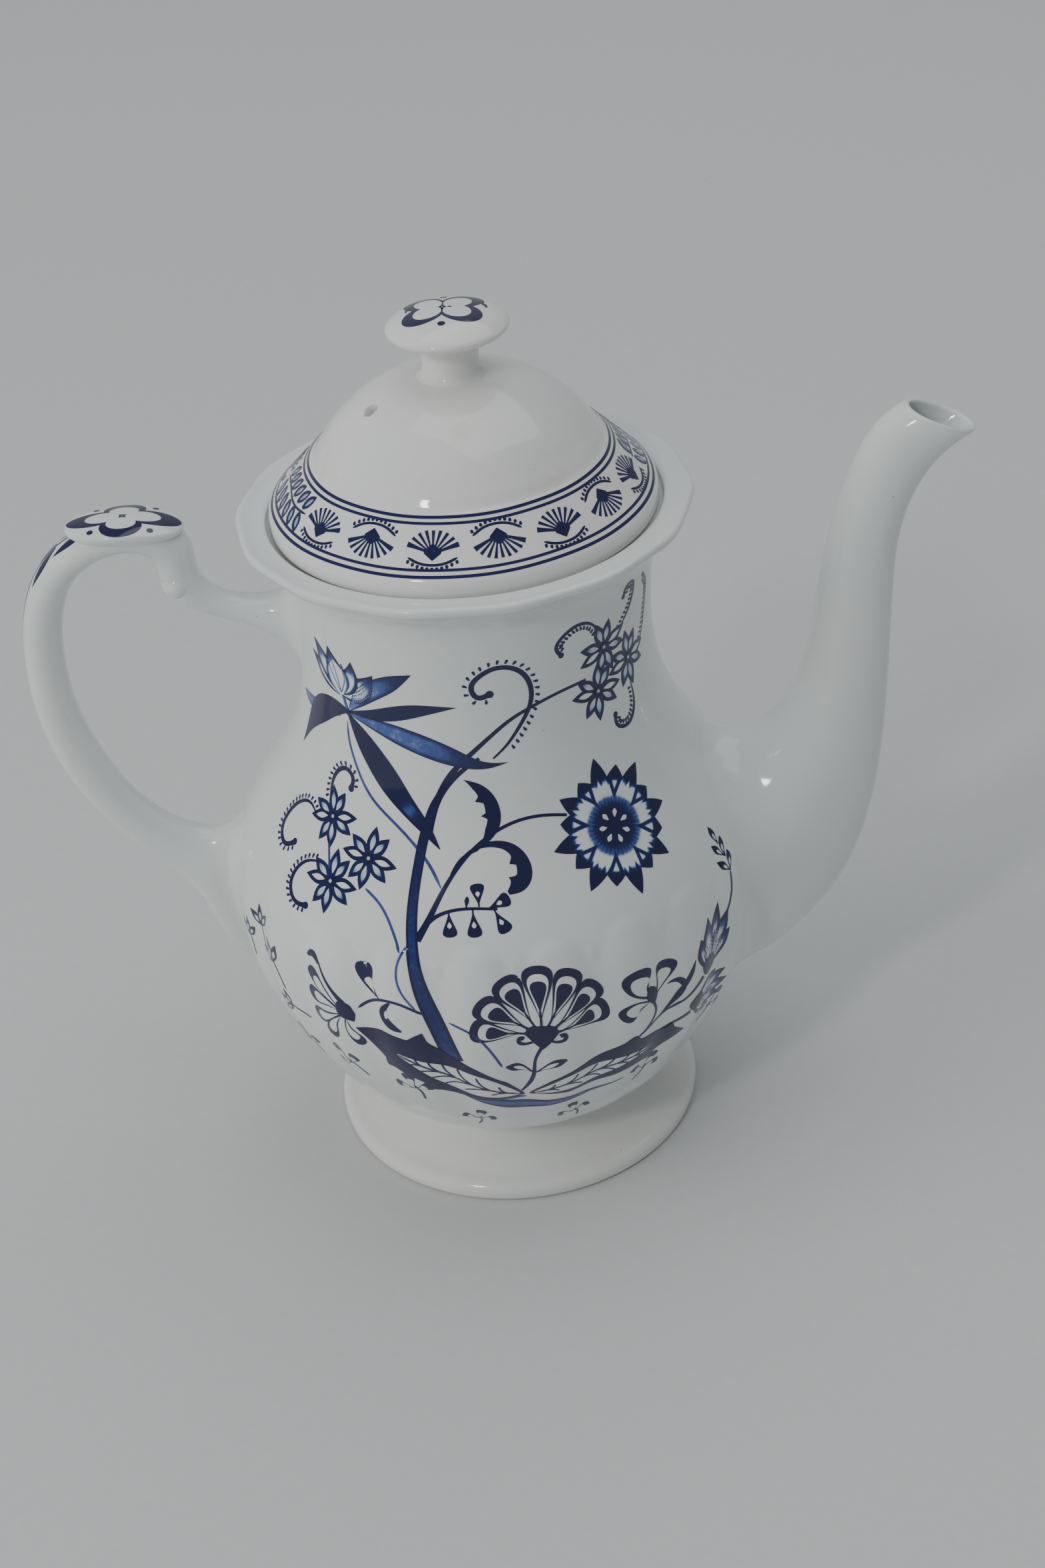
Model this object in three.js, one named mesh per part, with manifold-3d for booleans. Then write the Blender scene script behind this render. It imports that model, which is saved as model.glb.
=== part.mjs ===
// A tall glazed coffee pot: pear-shaped body on a spreading foot, S-shaped spout, scroll handle, domed lid.
// Millimetres, +Z up, the spout along +X and the handle along -X. It stands on the plane z = 0.
import * as THREE from 'three';
import { mergeVertices } from 'three/addons/utils/BufferGeometryUtils.js';
import Module from 'manifold-3d';

const wasm = await Module();
wasm.setup();

// ---- driving sizes ------------------------------------------------------------------------------
const GAP = 0.3; // joint line kept between two pieces luted together
const AROUND = 48; // facets around the pot

const FOOT_RADIUS = 51.5;
const FOOT_HEIGHT = 13;
const FOOT_EDGE = 3.2; // height of the foot's upright rim
const FOOT_WALL = 4.2;
const WAIST_RADIUS = 33; // where the foot meets the bowl

const BELLY_RADIUS = 71.5;
const BELLY_HEIGHT = 82; // height of the widest part
const NECK_CLEARANCE = 0.8; // the narrowest part's inside clears the throat by this
const NECK_HEIGHT = 155; // height of the narrowest part
const RIM_WIDTH = 7.3; // from the ledge's step out to the lip
const RIM_HEIGHT = 190.7;
const BODY_WALL = 4;
const RIM_ROUND = 1.0; // radius of the lip's edge

const LEDGE_DEPTH = 2.5; // from the lip down to the ledge that carries the lid
const LEDGE_WALL = 4;
const DISH_DROP = 1.6; // how far the rim dishes inwards, from the lip to the ledge's step

const LID_RADIUS = 48.8;
const LID_CLEARANCE = 1.2; // around the lid, inside the step
const LID_EDGE = 3.8; // height of the lid's upright edge
const LID_WALL = 4;
const BAND_WIDTH = 10.7; // painted band, measured on the radius
const BAND_RISE = 10.6;
const DOME_RISE = 19.6; // from the top of the band to the flat under the knob
const KNOB_SEAT_RADIUS = 9;
const VENT_DIAMETER = 3.4;
const VENT_RADIUS = 21.8; // from the axis to the vent hole
const VENT_ANGLE = 205; // degrees, anticlockwise from the spout

const COLLAR_DEPTH = 10;
const COLLAR_WALL = 3;
const COLLAR_CLEARANCE = 0.9; // between the collar and the throat
const COLLAR_INSET = 9; // from the lid's edge in to the collar
const LUG_WIDTH = 9;
const LUG_REACH = 2.6;
const LUG_HEIGHT = 2.6;
const LUG_CLEARANCE = 1.2; // around the lug in its notch

const KNOB_RADIUS = 15.1;
const KNOB_STEM_RADIUS = 7.1;
const KNOB_HEIGHT = 16.2;
const KNOB_DISC = 6.1; // thickness of the knob's disc

const SPOUT_WALL = 3.2;
const SPOUT_LIP = 1.8; // wall at the mouth
const STRAINER_HOLE = 3.6;
const STRAINER_PITCH = 7.5;
const STRAINER_DROP = 2; // from the belly's height down to the strainer's middle

const THUMB_LENGTH = 30;
const THUMB_WIDTH = 18;
const THUMB_THICKNESS = 3.4;
const THUMB_REACH = 14.7; // from the belly's radius out to the middle of the thumb rest
const THUMB_DROP = 2.7; // from the lip down to its underside

// ---- sizes that follow --------------------------------------------------------------------------
const baseZ = FOOT_HEIGHT + GAP; // underside of the bowl
const ledgeZ = RIM_HEIGHT - LEDGE_DEPTH; // top of the ledge
const stepRadius = LID_RADIUS + LID_CLEARANCE;
const rimRadius = stepRadius + RIM_WIDTH;
const collarRadius = LID_RADIUS - COLLAR_INSET;
const throatRadius = collarRadius + COLLAR_CLEARANCE;
const neckRadius = throatRadius + BODY_WALL + NECK_CLEARANCE; // outside of the narrowest part
const lidZ = ledgeZ + GAP; // underside of the lid at rest
const bandTopRadius = LID_RADIUS - 1 - BAND_WIDTH;
const bandTopZ = lidZ + LID_EDGE + BAND_RISE + 2;
const seatZ = bandTopZ + DOME_RISE; // flat on the dome that carries the knob
const strainerZ = BELLY_HEIGHT - STRAINER_DROP;
const thumbX = -(BELLY_RADIUS + THUMB_REACH);
const thumbZ = RIM_HEIGHT - THUMB_DROP; // underside of the thumb rest

// ---- tools --------------------------------------------------------------------------------------
const v2 = (r, z) => new THREE.Vector2(r, z);

/** A smooth curve through the points, sampled into the given number of pieces. */
function smooth(points, pieces) {
  return new THREE.SplineCurve(points).getPoints(pieces);
}

/** The curve moved sideways by a distance: to its left when positive. */
function offset(points, distance) {
  return points.map((point, i) => {
    const before = points[Math.max(i - 1, 0)];
    const after = points[Math.min(i + 1, points.length - 1)];
    const along = after.clone().sub(before).normalize();
    return v2(point.x - along.y * distance, point.y + along.x * distance);
  });
}

/** A closed profile in (radius, height) turned about Z. */
function turned(profile) {
  const geometry = new THREE.LatheGeometry([...profile, profile[0].clone()], AROUND);
  return geometry.rotateX(Math.PI / 2);
}

/** A closed geometry as a manifold solid, with its faces turned outwards. */
function solid(geometry) {
  const bare = geometry.clone();
  bare.deleteAttribute('normal');
  bare.deleteAttribute('uv');
  const merged = mergeVertices(bare, 1e-4);
  const vertProperties = new Float32Array(merged.attributes.position.array);
  const corners = Array.from(merged.index.array);
  const triangles = [];
  for (let i = 0; i < corners.length; i += 3) {
    const [a, b, c] = corners.slice(i, i + 3);
    if (a !== b && b !== c && c !== a) triangles.push(a, b, c);
  }
  if (signedVolume(vertProperties, triangles) < 0) {
    for (let i = 0; i < triangles.length; i += 3) {
      [triangles[i], triangles[i + 1]] = [triangles[i + 1], triangles[i]];
    }
  }
  const triVerts = new Uint32Array(triangles);
  return new wasm.Manifold(new wasm.Mesh({ numProp: 3, vertProperties, triVerts }));
}

/** Six times the volume that a triangle list encloses, with its sign. */
function signedVolume(positions, triangles) {
  const corner = (index) => new THREE.Vector3().fromArray(positions, index * 3);
  let total = 0;
  for (let i = 0; i < triangles.length; i += 3) {
    const [a, b, c] = [0, 1, 2].map((k) => corner(triangles[i + k]));
    total += a.dot(b.cross(c));
  }
  return total;
}

/** A manifold solid back as a geometry. */
function geometryOf(manifold) {
  const mesh = manifold.getMesh();
  const geometry = new THREE.BufferGeometry();
  geometry.setAttribute('position', new THREE.BufferAttribute(new Float32Array(mesh.vertProperties), 3));
  geometry.setIndex(new THREE.BufferAttribute(new Uint32Array(mesh.triVerts), 1));
  geometry.computeVertexNormals();
  return geometry;
}

/** A tube whose sections span from one edge line to the other in the plane y = 0, half widths along Y. */
function swept(edgeA, edgeB, halfWidths, rings, sides, wall = null) {
  const lineA = new THREE.SplineCurve(edgeA);
  const lineB = new THREE.SplineCurve(edgeB);
  const widths = new THREE.SplineCurve(halfWidths.map((width, i) => v2(i, width)));
  const geometry = new THREE.CylinderGeometry(1, 1, 1, sides, rings);
  const position = geometry.attributes.position;
  for (let i = 0; i < position.count; i++) {
    const along = THREE.MathUtils.clamp(position.getY(i) + 0.5, 0, 1);
    const a = lineA.getPoint(along);
    const b = lineB.getPoint(along);
    const middle = a.clone().add(b).multiplyScalar(0.5);
    const reach = a.clone().sub(middle);
    const thinner = wall ? THREE.MathUtils.lerp(wall[0], wall[1], along) : 0;
    reach.multiplyScalar((reach.length() - thinner) / reach.length());
    const halfWidth = widths.getPoint(along).y - thinner;
    const x = middle.x + reach.x * position.getX(i);
    const z = middle.y + reach.y * position.getX(i);
    position.setXYZ(i, x, halfWidth * position.getZ(i), z);
  }
  return geometry;
}

const ceramic = (color) => new THREE.MeshStandardMaterial({ color, roughness: 0.12, metalness: 0 });

const pot = new THREE.Group();

/** Adds a named piece to the pot. */
function piece(name, manifold, colour) {
  const mesh = new THREE.Mesh(geometryOf(manifold), ceramic(colour));
  mesh.name = name;
  pot.add(mesh);
}

// ---- body ---------------------------------------------------------------------------------------
const bowl = BELLY_HEIGHT - baseZ;
const shoulder = NECK_HEIGHT - BELLY_HEIGHT;
const flare = RIM_HEIGHT - NECK_HEIGHT;
const below = BELLY_RADIUS - WAIST_RADIUS;
const above = BELLY_RADIUS - neckRadius;
const opening = rimRadius - neckRadius;

const bodyLine = smooth([
  v2(WAIST_RADIUS, baseZ),
  v2(WAIST_RADIUS + 0.2 * below, baseZ + 0.07 * bowl),
  v2(WAIST_RADIUS + 0.45 * below, baseZ + 0.18 * bowl),
  v2(WAIST_RADIUS + 0.66 * below, baseZ + 0.36 * bowl),
  v2(WAIST_RADIUS + 0.87 * below, baseZ + 0.61 * bowl),
  v2(WAIST_RADIUS + 0.98 * below, baseZ + 0.84 * bowl),
  v2(BELLY_RADIUS, BELLY_HEIGHT),
  v2(neckRadius + 0.95 * above, BELLY_HEIGHT + 0.16 * shoulder),
  v2(neckRadius + 0.75 * above, BELLY_HEIGHT + 0.32 * shoulder),
  v2(neckRadius + 0.34 * above, BELLY_HEIGHT + 0.54 * shoulder),
  v2(neckRadius + 0.09 * above, BELLY_HEIGHT + 0.76 * shoulder),
  v2(neckRadius, NECK_HEIGHT),
  v2(neckRadius + 0.07 * opening, NECK_HEIGHT + 0.45 * flare),
  v2(neckRadius + 0.33 * opening, NECK_HEIGHT + 0.77 * flare),
  v2(rimRadius - 0.6, RIM_HEIGHT - 2 * RIM_ROUND - 0.4),
], 24);

const insideLine = offset(bodyLine, BODY_WALL)
  .filter((point, i) => i % 2 === 0)
  .filter((point) => point.y > baseZ + 1.6 * BODY_WALL && point.y < ledgeZ - LEDGE_WALL - 0.8)
  .reverse();

const lip = [
  v2(rimRadius, RIM_HEIGHT - RIM_ROUND),
  v2(rimRadius - 0.4 * RIM_ROUND, RIM_HEIGHT - 0.2 * RIM_ROUND),
  v2(rimRadius - 1.2 * RIM_ROUND, RIM_HEIGHT),
  v2(rimRadius - 2.6 * RIM_ROUND, RIM_HEIGHT - 0.3 * RIM_ROUND),
  v2(stepRadius, RIM_HEIGHT - DISH_DROP),
  v2(stepRadius, ledgeZ),
  v2(throatRadius, ledgeZ),
  v2(throatRadius, ledgeZ - LEDGE_WALL),
];

const floorZ = baseZ + BODY_WALL;
const bodyShell = solid(turned([
  v2(0, baseZ),
  ...bodyLine,
  ...lip,
  v2(insideLine[0].x, ledgeZ - LEDGE_WALL),
  ...insideLine,
  v2(insideLine.at(-1).x - 4, floorZ + 1),
  v2(insideLine.at(-1).x - 10, floorZ),
  v2(0, floorZ),
]));

/** The bowl's outer shape as one solid mass, larger all round by a distance. */
function bodyMass(distance) {
  const outer = offset(bodyLine, -distance);
  return solid(turned([v2(0, baseZ - distance), ...outer, v2(0, outer.at(-1).y)]));
}

// The strainer is a ring of small holes around a middle one, all square to the wall behind the spout.
const strainer = [v2(0, 0)];
for (let i = 0; i < 6; i++) {
  const turn = (i * Math.PI) / 3;
  strainer.push(v2(Math.cos(turn) * STRAINER_PITCH, Math.sin(turn) * STRAINER_PITCH));
}
for (let i = 0; i < 2; i++) {
  strainer.push(v2(0, (i * 2 - 1) * STRAINER_PITCH * 1.9));
}
const strainerCuts = strainer.map((hole) => {
  const drill = new THREE.CylinderGeometry(STRAINER_HOLE / 2, STRAINER_HOLE / 2, 20, 12);
  drill.rotateZ(Math.PI / 2);
  drill.translate(BELLY_RADIUS - 3, hole.x, strainerZ + hole.y);
  return solid(drill);
});

// The lug drops through a notch in the ledge, on the handle's side.
const lugInner = collarRadius + GAP;
const lugOuter = lugInner + LUG_REACH;
const notch = new THREE.BoxGeometry(LUG_REACH + 4, LUG_WIDTH + 2 * LUG_CLEARANCE, LEDGE_WALL + 6);
notch.translate(-(lugOuter + LUG_CLEARANCE) + (LUG_REACH + 4) / 2, 0, ledgeZ - LEDGE_WALL / 2);

let body = bodyShell.subtract(solid(notch));
for (const cut of strainerCuts) body = body.subtract(cut);
piece('pot_body', body, 0xe9ebe8);

// ---- foot ---------------------------------------------------------------------------------------
const footSpread = FOOT_RADIUS - WAIST_RADIUS;
const footRise = FOOT_HEIGHT - FOOT_EDGE;
const onFoot = (inwards, up) => v2(FOOT_RADIUS - inwards * footSpread, FOOT_EDGE + up * footRise);
const footLine = smooth([
  onFoot(0, 0),
  onFoot(0.19, 0.224),
  onFoot(0.486, 0.469),
  onFoot(0.81, 0.735),
  onFoot(1, 1),
], 7);
const recessTop = WAIST_RADIUS - FOOT_WALL;
const recessSpread = FOOT_RADIUS - FOOT_WALL - 1.8 - recessTop;
const footInside = smooth([
  v2(recessTop, FOOT_HEIGHT),
  v2(recessTop + 0.18 * recessSpread, FOOT_HEIGHT - FOOT_WALL),
  v2(recessTop + 0.64 * recessSpread, FOOT_EDGE + 1.2),
  v2(recessTop + recessSpread, 1.2),
], 5);
piece('pedestal_foot', solid(turned([
  v2(FOOT_RADIUS - 0.8, 0),
  v2(FOOT_RADIUS, 0.8),
  ...footLine,
  ...footInside,
  v2(FOOT_RADIUS - FOOT_WALL - 1, 0),
])), 0xe4e6e0);

// ---- spout --------------------------------------------------------------------------------------
// A point's first number is how far it lies out from the belly's radius. Its second is its height, as a
// share of the way from the belly's height (0) to the lip (1), so that the mouth stays above the lip.
const risen = (share) => BELLY_HEIGHT + share * (RIM_HEIGHT - BELLY_HEIGHT);
const beside = (out, share) => v2(BELLY_RADIUS + out, risen(share));

// Upper and lower edge lines, from inside the bowl to the mouth, and the half width at each station.
const spoutUpper = [
  beside(-21.5, 0.276), beside(-5.5, 0.304), beside(3.5, 0.354), beside(10.3, 0.451),
  beside(14.3, 0.57), beside(17.3, 0.745), beside(21.3, 0.911), beside(26.8, 1.049),
  beside(32.3, 1.125), beside(38, 1.163),
];
const spoutLower = [
  beside(-21.5, -0.35), beside(-1.5, -0.317), beside(19.5, -0.133), beside(29.7, 0.083),
  beside(33.8, 0.322), beside(35.5, 0.626), beside(37.4, 0.846), beside(42.9, 0.984),
  beside(49.3, 1.054), beside(55.7, 1.097),
];
const spoutHalfWidth = [23, 22, 18.5, 14.5, 11.5, 9.3, 8.4, 7.8, 7.3, 7];
const extend = (line, reach) => {
  const away = line[0].clone().sub(line[1]).setLength(reach);
  const beyond = line.at(-1).clone().sub(line.at(-2)).setLength(reach);
  return [line[0].clone().add(away), ...line.slice(1, -1), line.at(-1).clone().add(beyond)];
};
const spoutSolid = solid(swept(spoutUpper, spoutLower, spoutHalfWidth, 20, 20));
const spoutBore = solid(swept(extend(spoutUpper, 3), extend(spoutLower, 3), spoutHalfWidth, 20, 20,
  [SPOUT_WALL, SPOUT_LIP]));
piece('spout', spoutSolid.subtract(spoutBore).subtract(bodyMass(GAP)), 0xe6e9e8);

// ---- handle -------------------------------------------------------------------------------------
// The same two numbers on the other side of the pot; the upper root is measured out from the neck instead.
const behind = (out, share) => v2(-(BELLY_RADIUS + out), risen(share));
const byNeck = (out, share) => v2(-(neckRadius + out), risen(share));

// Finger-side and outside edges, from inside the neck, round the scroll and down to the tail.
const handleFinger = [
  byNeck(-5.5, 0.589), byNeck(5, 0.662), byNeck(12, 0.705), behind(-5.5, 0.738), behind(4.1, 0.782),
  behind(7.9, 0.846), behind(8.7, 0.896), behind(12.7, 0.92), behind(18, 0.92), behind(25.5, 0.887),
  behind(31.7, 0.822), behind(35.5, 0.721), behind(36.6, 0.603), behind(35.3, 0.474),
  behind(30.3, 0.335), behind(22.5, 0.212), behind(13.1, 0.142), behind(4.5, 0.12),
  behind(-4.5, 0.138), behind(-11.5, 0.138),
];
const handleOuter = [
  byNeck(-5.5, 0.8), byNeck(4, 0.782), byNeck(11.5, 0.776), behind(-7.7, 0.789), behind(-3.3, 0.824),
  behind(-1.9, 0.874), behind(-0.9, 0.935), behind(5.5, 0.988), behind(17.5, 0.997),
  behind(29.1, 0.962), behind(38.3, 0.889), behind(44.5, 0.769), behind(46.9, 0.607),
  behind(45.7, 0.442), behind(40.1, 0.28), behind(30.5, 0.138), behind(18.5, 0.013),
  behind(10.5, -0.101), behind(3.5, -0.258), behind(-5.5, -0.35),
];
const handleHalfWidth = [7.5, 6.2, 5, 5, 5.6, 6, 6.4, 7, 7.4, 7, 6.5, 6.2, 6, 6, 5.8, 5.6, 6, 7, 6.5, 5];
const thumbSeat = new THREE.BoxGeometry(THUMB_LENGTH + 12, THUMB_WIDTH + 10, 12);
thumbSeat.translate(thumbX, 0, thumbZ - GAP + 6);
piece('handle', solid(swept(handleFinger, handleOuter, handleHalfWidth, 42, 14))
  .subtract(solid(thumbSeat))
  .subtract(bodyMass(GAP)), 0xe8eae9);

const oval = new THREE.Shape();
oval.absellipse(0, 0, THUMB_LENGTH / 2 - 1, THUMB_WIDTH / 2 - 1, 0, Math.PI * 2);
const thumb = new THREE.ExtrudeGeometry(oval, {
  depth: THUMB_THICKNESS - 2,
  bevelEnabled: true,
  bevelThickness: 1,
  bevelSize: 1,
  bevelSegments: 2,
  curveSegments: 20,
});
thumb.translate(thumbX, 0, thumbZ + 1);
piece('thumb_rest', solid(thumb), 0xe9ebea);

// ---- lid ----------------------------------------------------------------------------------------
const domeSpan = bandTopRadius - KNOB_SEAT_RADIUS;
const onDome = (inwards, up) => v2(bandTopRadius - inwards * domeSpan, bandTopZ + up * DOME_RISE);
const dome = smooth([
  onDome(0.057, 0.061),
  onDome(0.114, 0.204),
  onDome(0.206, 0.367),
  onDome(0.391, 0.622),
  onDome(0.598, 0.816),
  onDome(0.84, 0.954),
  onDome(1, 1),
], 10);
const domeInside = offset(dome, LID_WALL);
const collarInner = collarRadius - COLLAR_WALL;
const lidProfile = [
  v2(collarInner, lidZ),
  v2(LID_RADIUS - 0.7, lidZ),
  v2(LID_RADIUS, lidZ + 0.8),
  v2(LID_RADIUS, lidZ + LID_EDGE),
  v2(LID_RADIUS - 1, lidZ + LID_EDGE + 2),
  v2(bandTopRadius, bandTopZ),
  ...dome,
  v2(0, seatZ),
  v2(0, seatZ - LID_WALL),
  ...domeInside.filter((point, i) => i % 2 === 0 && point.x > 0 && point.y < seatZ - LID_WALL).reverse(),
  v2(collarInner, bandTopZ - 1.35 * LID_WALL - (collarInner - bandTopRadius + 4)),
];
const vent = new THREE.CylinderGeometry(VENT_DIAMETER / 2, VENT_DIAMETER / 2, 30, 12);
vent.rotateX(Math.PI / 2);
const ventAngle = THREE.MathUtils.degToRad(VENT_ANGLE);
vent.translate(VENT_RADIUS * Math.cos(ventAngle), VENT_RADIUS * Math.sin(ventAngle), bandTopZ + 12);
piece('lid_dome', solid(turned(lidProfile)).subtract(solid(vent)), 0xebece8);

const collarTop = lidZ - GAP;
piece('lid_collar', solid(turned([
  v2(collarInner, collarTop),
  v2(collarInner, lidZ - COLLAR_DEPTH),
  v2(collarRadius - 0.8, lidZ - COLLAR_DEPTH),
  v2(collarRadius, lidZ - COLLAR_DEPTH + 1),
  v2(collarRadius, collarTop),
])), 0xe3e4de);

const lug = new THREE.BoxGeometry(LUG_REACH, LUG_WIDTH, LUG_HEIGHT);
lug.translate(-(lugInner + LUG_REACH / 2), 0, lidZ - COLLAR_DEPTH + LUG_HEIGHT / 2);
piece('lid_lug', solid(lug), 0xe3e4de);

const knobZ = seatZ + GAP;
const knobTop = knobZ + KNOB_HEIGHT;
const discZ = knobTop - KNOB_DISC;
piece('lid_knob', solid(turned([
  v2(0, knobZ),
  ...smooth([
    v2(KNOB_STEM_RADIUS + 1.2, knobZ),
    v2(KNOB_STEM_RADIUS + 0.2, knobZ + 1.4),
    v2(KNOB_STEM_RADIUS, knobZ + 0.35 * KNOB_HEIGHT),
    v2(KNOB_STEM_RADIUS + 1.4, discZ - 1.8),
    v2(KNOB_RADIUS - 3.4, discZ - 0.4),
    v2(KNOB_RADIUS - 0.5, discZ + 0.6),
    v2(KNOB_RADIUS, discZ + 1.6),
    v2(KNOB_RADIUS - 0.8, discZ + 2.8),
    v2(KNOB_RADIUS - 5, knobTop - 0.9),
    v2(2, knobTop),
  ], 15),
  v2(0, knobTop),
])), 0xecedea);

// The whole pot is moved along X, so that the middle of its length lies over the origin.
const length = new THREE.Box3().setFromObject(pot);
pot.position.x = -(length.min.x + length.max.x) / 2;
pot.updateMatrixWorld(true);

export default pot;
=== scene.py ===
"""A tall white coffee pot with blue onion-pattern painting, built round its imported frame.

Shapes are worked out in millimetres from the pot's own axis, and become metres when their meshes are made.
"""
import math

import bpy
import numpy as np
from mathutils import Matrix, Vector


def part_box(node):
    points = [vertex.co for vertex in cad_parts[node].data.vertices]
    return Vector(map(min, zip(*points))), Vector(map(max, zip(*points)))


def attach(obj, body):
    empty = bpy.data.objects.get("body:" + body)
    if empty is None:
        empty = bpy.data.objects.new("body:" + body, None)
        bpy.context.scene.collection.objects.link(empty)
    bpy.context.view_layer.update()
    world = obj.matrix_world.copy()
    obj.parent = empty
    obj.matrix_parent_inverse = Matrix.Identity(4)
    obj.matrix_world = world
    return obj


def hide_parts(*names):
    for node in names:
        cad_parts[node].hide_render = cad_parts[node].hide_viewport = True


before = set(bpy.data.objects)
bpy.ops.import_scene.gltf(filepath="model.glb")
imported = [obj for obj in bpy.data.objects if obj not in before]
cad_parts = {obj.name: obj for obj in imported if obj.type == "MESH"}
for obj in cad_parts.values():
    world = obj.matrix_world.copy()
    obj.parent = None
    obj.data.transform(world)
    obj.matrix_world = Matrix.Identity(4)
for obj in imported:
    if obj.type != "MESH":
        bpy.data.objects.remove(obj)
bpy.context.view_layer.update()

MM = 0.001
TURN = 2 * np.pi


# ---- sizes taken from the frame --------------------------------------------------------------------------
def node_box(node):
    """A node's lowest and highest corner, in millimetres in the frame."""
    lo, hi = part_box(node)
    return np.array(lo) / MM, np.array(hi) / MM


foot_lo, foot_hi = node_box("pedestal_foot")
body_lo, body_hi = node_box("pot_body")
thumb_lo, thumb_hi = node_box("thumb_rest")
dome_lo, dome_hi = node_box("lid_dome")
collar_lo, collar_hi = node_box("lid_collar")
lug_lo, lug_hi = node_box("lid_lug")
knob_lo, knob_hi = node_box("lid_knob")

AXIS_X = (foot_lo[0] + foot_hi[0]) / 2
FOOT_R = (foot_hi[1] - foot_lo[1]) / 2
BELLY_R = (body_hi[1] - body_lo[1]) / 2
BASE_Z = body_lo[2]
RIM_Z = body_hi[2]
LID_R = (dome_hi[1] - dome_lo[1]) / 2
LID_Z = dome_lo[2]
SEAT_Z = dome_hi[2]
COLLAR_R = (collar_hi[1] - collar_lo[1]) / 2
KNOB_R = (knob_hi[1] - knob_lo[1]) / 2
KNOB_Z = knob_lo[2]
KNOB_TOP = knob_hi[2]
BELLY_Z = 0.43 * RIM_Z
NECK_Z = 0.813 * RIM_Z
STEP_GAP, THROAT_GAP = 1.2, 0.9  # round the lid in its step, and round its collar in the throat
LIP_REACH, NECK_REACH = 7.3, 4.8  # from the step out to the lip, and from the throat out to the neck
STEP_R = LID_R + STEP_GAP
RIM_R = STEP_R + LIP_REACH
THROAT_R = COLLAR_R + THROAT_GAP
NECK_R = THROAT_R + NECK_REACH
WAIST_R = 33.0  # where the foot meets the bowl
WALL = 4.0  # thickness of the body and the lid
LID_FLOAT = 0.3  # the joint line under the lid's edge


# ---- curves and grids ------------------------------------------------------------------------------------
def curve(points, at, even=False):
    """Smooth line through the points: a cubic on each stretch, whose slope and bend match its neighbours'.

    The place along it goes from 0 to 1, by distance along the chords, or evenly from point to point.
    """
    p = np.asarray(points, float)
    count = len(p)
    step = np.ones(count - 1) if even else np.linalg.norm(np.diff(p, axis=0), axis=1)
    knot = np.concatenate([[0.0], np.cumsum(step)])
    system, pull = np.eye(count), np.zeros_like(p)
    i = np.arange(1, count - 1)
    system[i, i - 1], system[i, i + 1] = step[:-1], step[1:]
    system[i, i] = 2 * (step[:-1] + step[1:])
    slope = np.diff(p, axis=0) / step[:, None]
    pull[i] = 6 * np.diff(slope, axis=0)
    bend = np.linalg.solve(system, pull)
    u = np.clip(np.asarray(at, float), 0, 1) * knot[-1]
    k = np.clip(np.searchsorted(knot, u, side="right") - 1, 0, count - 2)
    h = step[k][:, None]
    a, b = knot[k + 1][:, None] - u[:, None], u[:, None] - knot[k][:, None]
    ends = (p[k] / h - bend[k] * h / 6) * a + (p[k + 1] / h - bend[k + 1] * h / 6) * b
    return bend[k] * a**3 / (6 * h) + bend[k + 1] * b**3 / (6 * h) + ends


def spaced(points, count):
    """The smooth line through the points, at evenly spaced distances along it."""
    fine = curve(points, np.linspace(0, 1, 40 * len(points)))
    run = np.concatenate([[0], np.cumsum(np.linalg.norm(np.diff(fine, axis=0), axis=1))])
    want = np.linspace(0, run[-1], count)
    return np.stack([np.interp(want, run, column) for column in fine.T], axis=1)


def ease(x):
    """0 below 0, 1 above 1, and a smooth rise between."""
    x = np.clip(x, 0, 1)
    return x * x * (3 - 2 * x)


def unit(v):
    """Directions of length one."""
    return v / np.maximum(np.linalg.norm(v, axis=-1, keepdims=True), 1e-9)


CREASE = 48.0  # faces that meet more sharply than this are shaded apart


def make_mesh(name, verts, faces):
    """A mesh object from points in millimetres about the pot's axis."""
    moved = (np.asarray(verts, float).reshape(-1, 3) + [AXIS_X, 0, 0]) * MM
    mesh = bpy.data.meshes.new(name)
    mesh.from_pydata(moved.tolist(), [], faces)
    mesh.polygons.foreach_set("use_smooth", np.full(len(mesh.polygons), True))
    mesh.set_sharp_from_angle(angle=math.radians(CREASE))
    mesh.update()
    obj = bpy.data.objects.new(name, mesh)
    bpy.context.scene.collection.objects.link(obj)
    return obj


def grid_faces(rows, columns, wrap_rows, wrap_columns):
    """Quads between neighbouring rows and columns of a grid of points."""
    i = np.arange(rows if wrap_rows else rows - 1)[:, None]
    j = np.arange(columns if wrap_columns else columns - 1)[None, :]
    after_i, after_j = (i + 1) % rows, (j + 1) % columns
    corners = [i * columns + j, after_i * columns + j, after_i * columns + after_j, i * columns + after_j]
    return np.stack([np.broadcast_to(c, (i.size, j.size)).ravel() for c in corners], axis=1)


def shell(name, grid, closed_rows=False, first=None, last=None):
    """A closed surface from rings of points, which join end to end or end at a pole point on each side."""
    rows, columns = grid.shape[:2]
    verts = grid.reshape(-1, 3)
    faces = grid_faces(rows, columns, closed_rows, True)
    volume = (verts[faces[:, 0]] * np.cross(verts[faces[:, 1]], verts[faces[:, 2]])).sum()
    faces = faces.tolist()
    j = np.arange(columns)
    for pole, row, flipped in ((first, 0, False), (last, rows - 1, True)):
        if pole is not None:
            ring = row * columns + np.stack([(j + 1) % columns, j], axis=1)
            ring = ring[:, ::-1] if flipped else ring
            faces += np.column_stack([ring, np.full(columns, len(verts))]).tolist()
            verts = np.vstack([verts, pole])
    if volume < 0:
        faces = [face[::-1] for face in faces]
    return make_mesh(name, verts, faces)


def circle(count):
    """Angles evenly round a whole turn."""
    return np.arange(count) / count * TURN


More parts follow.
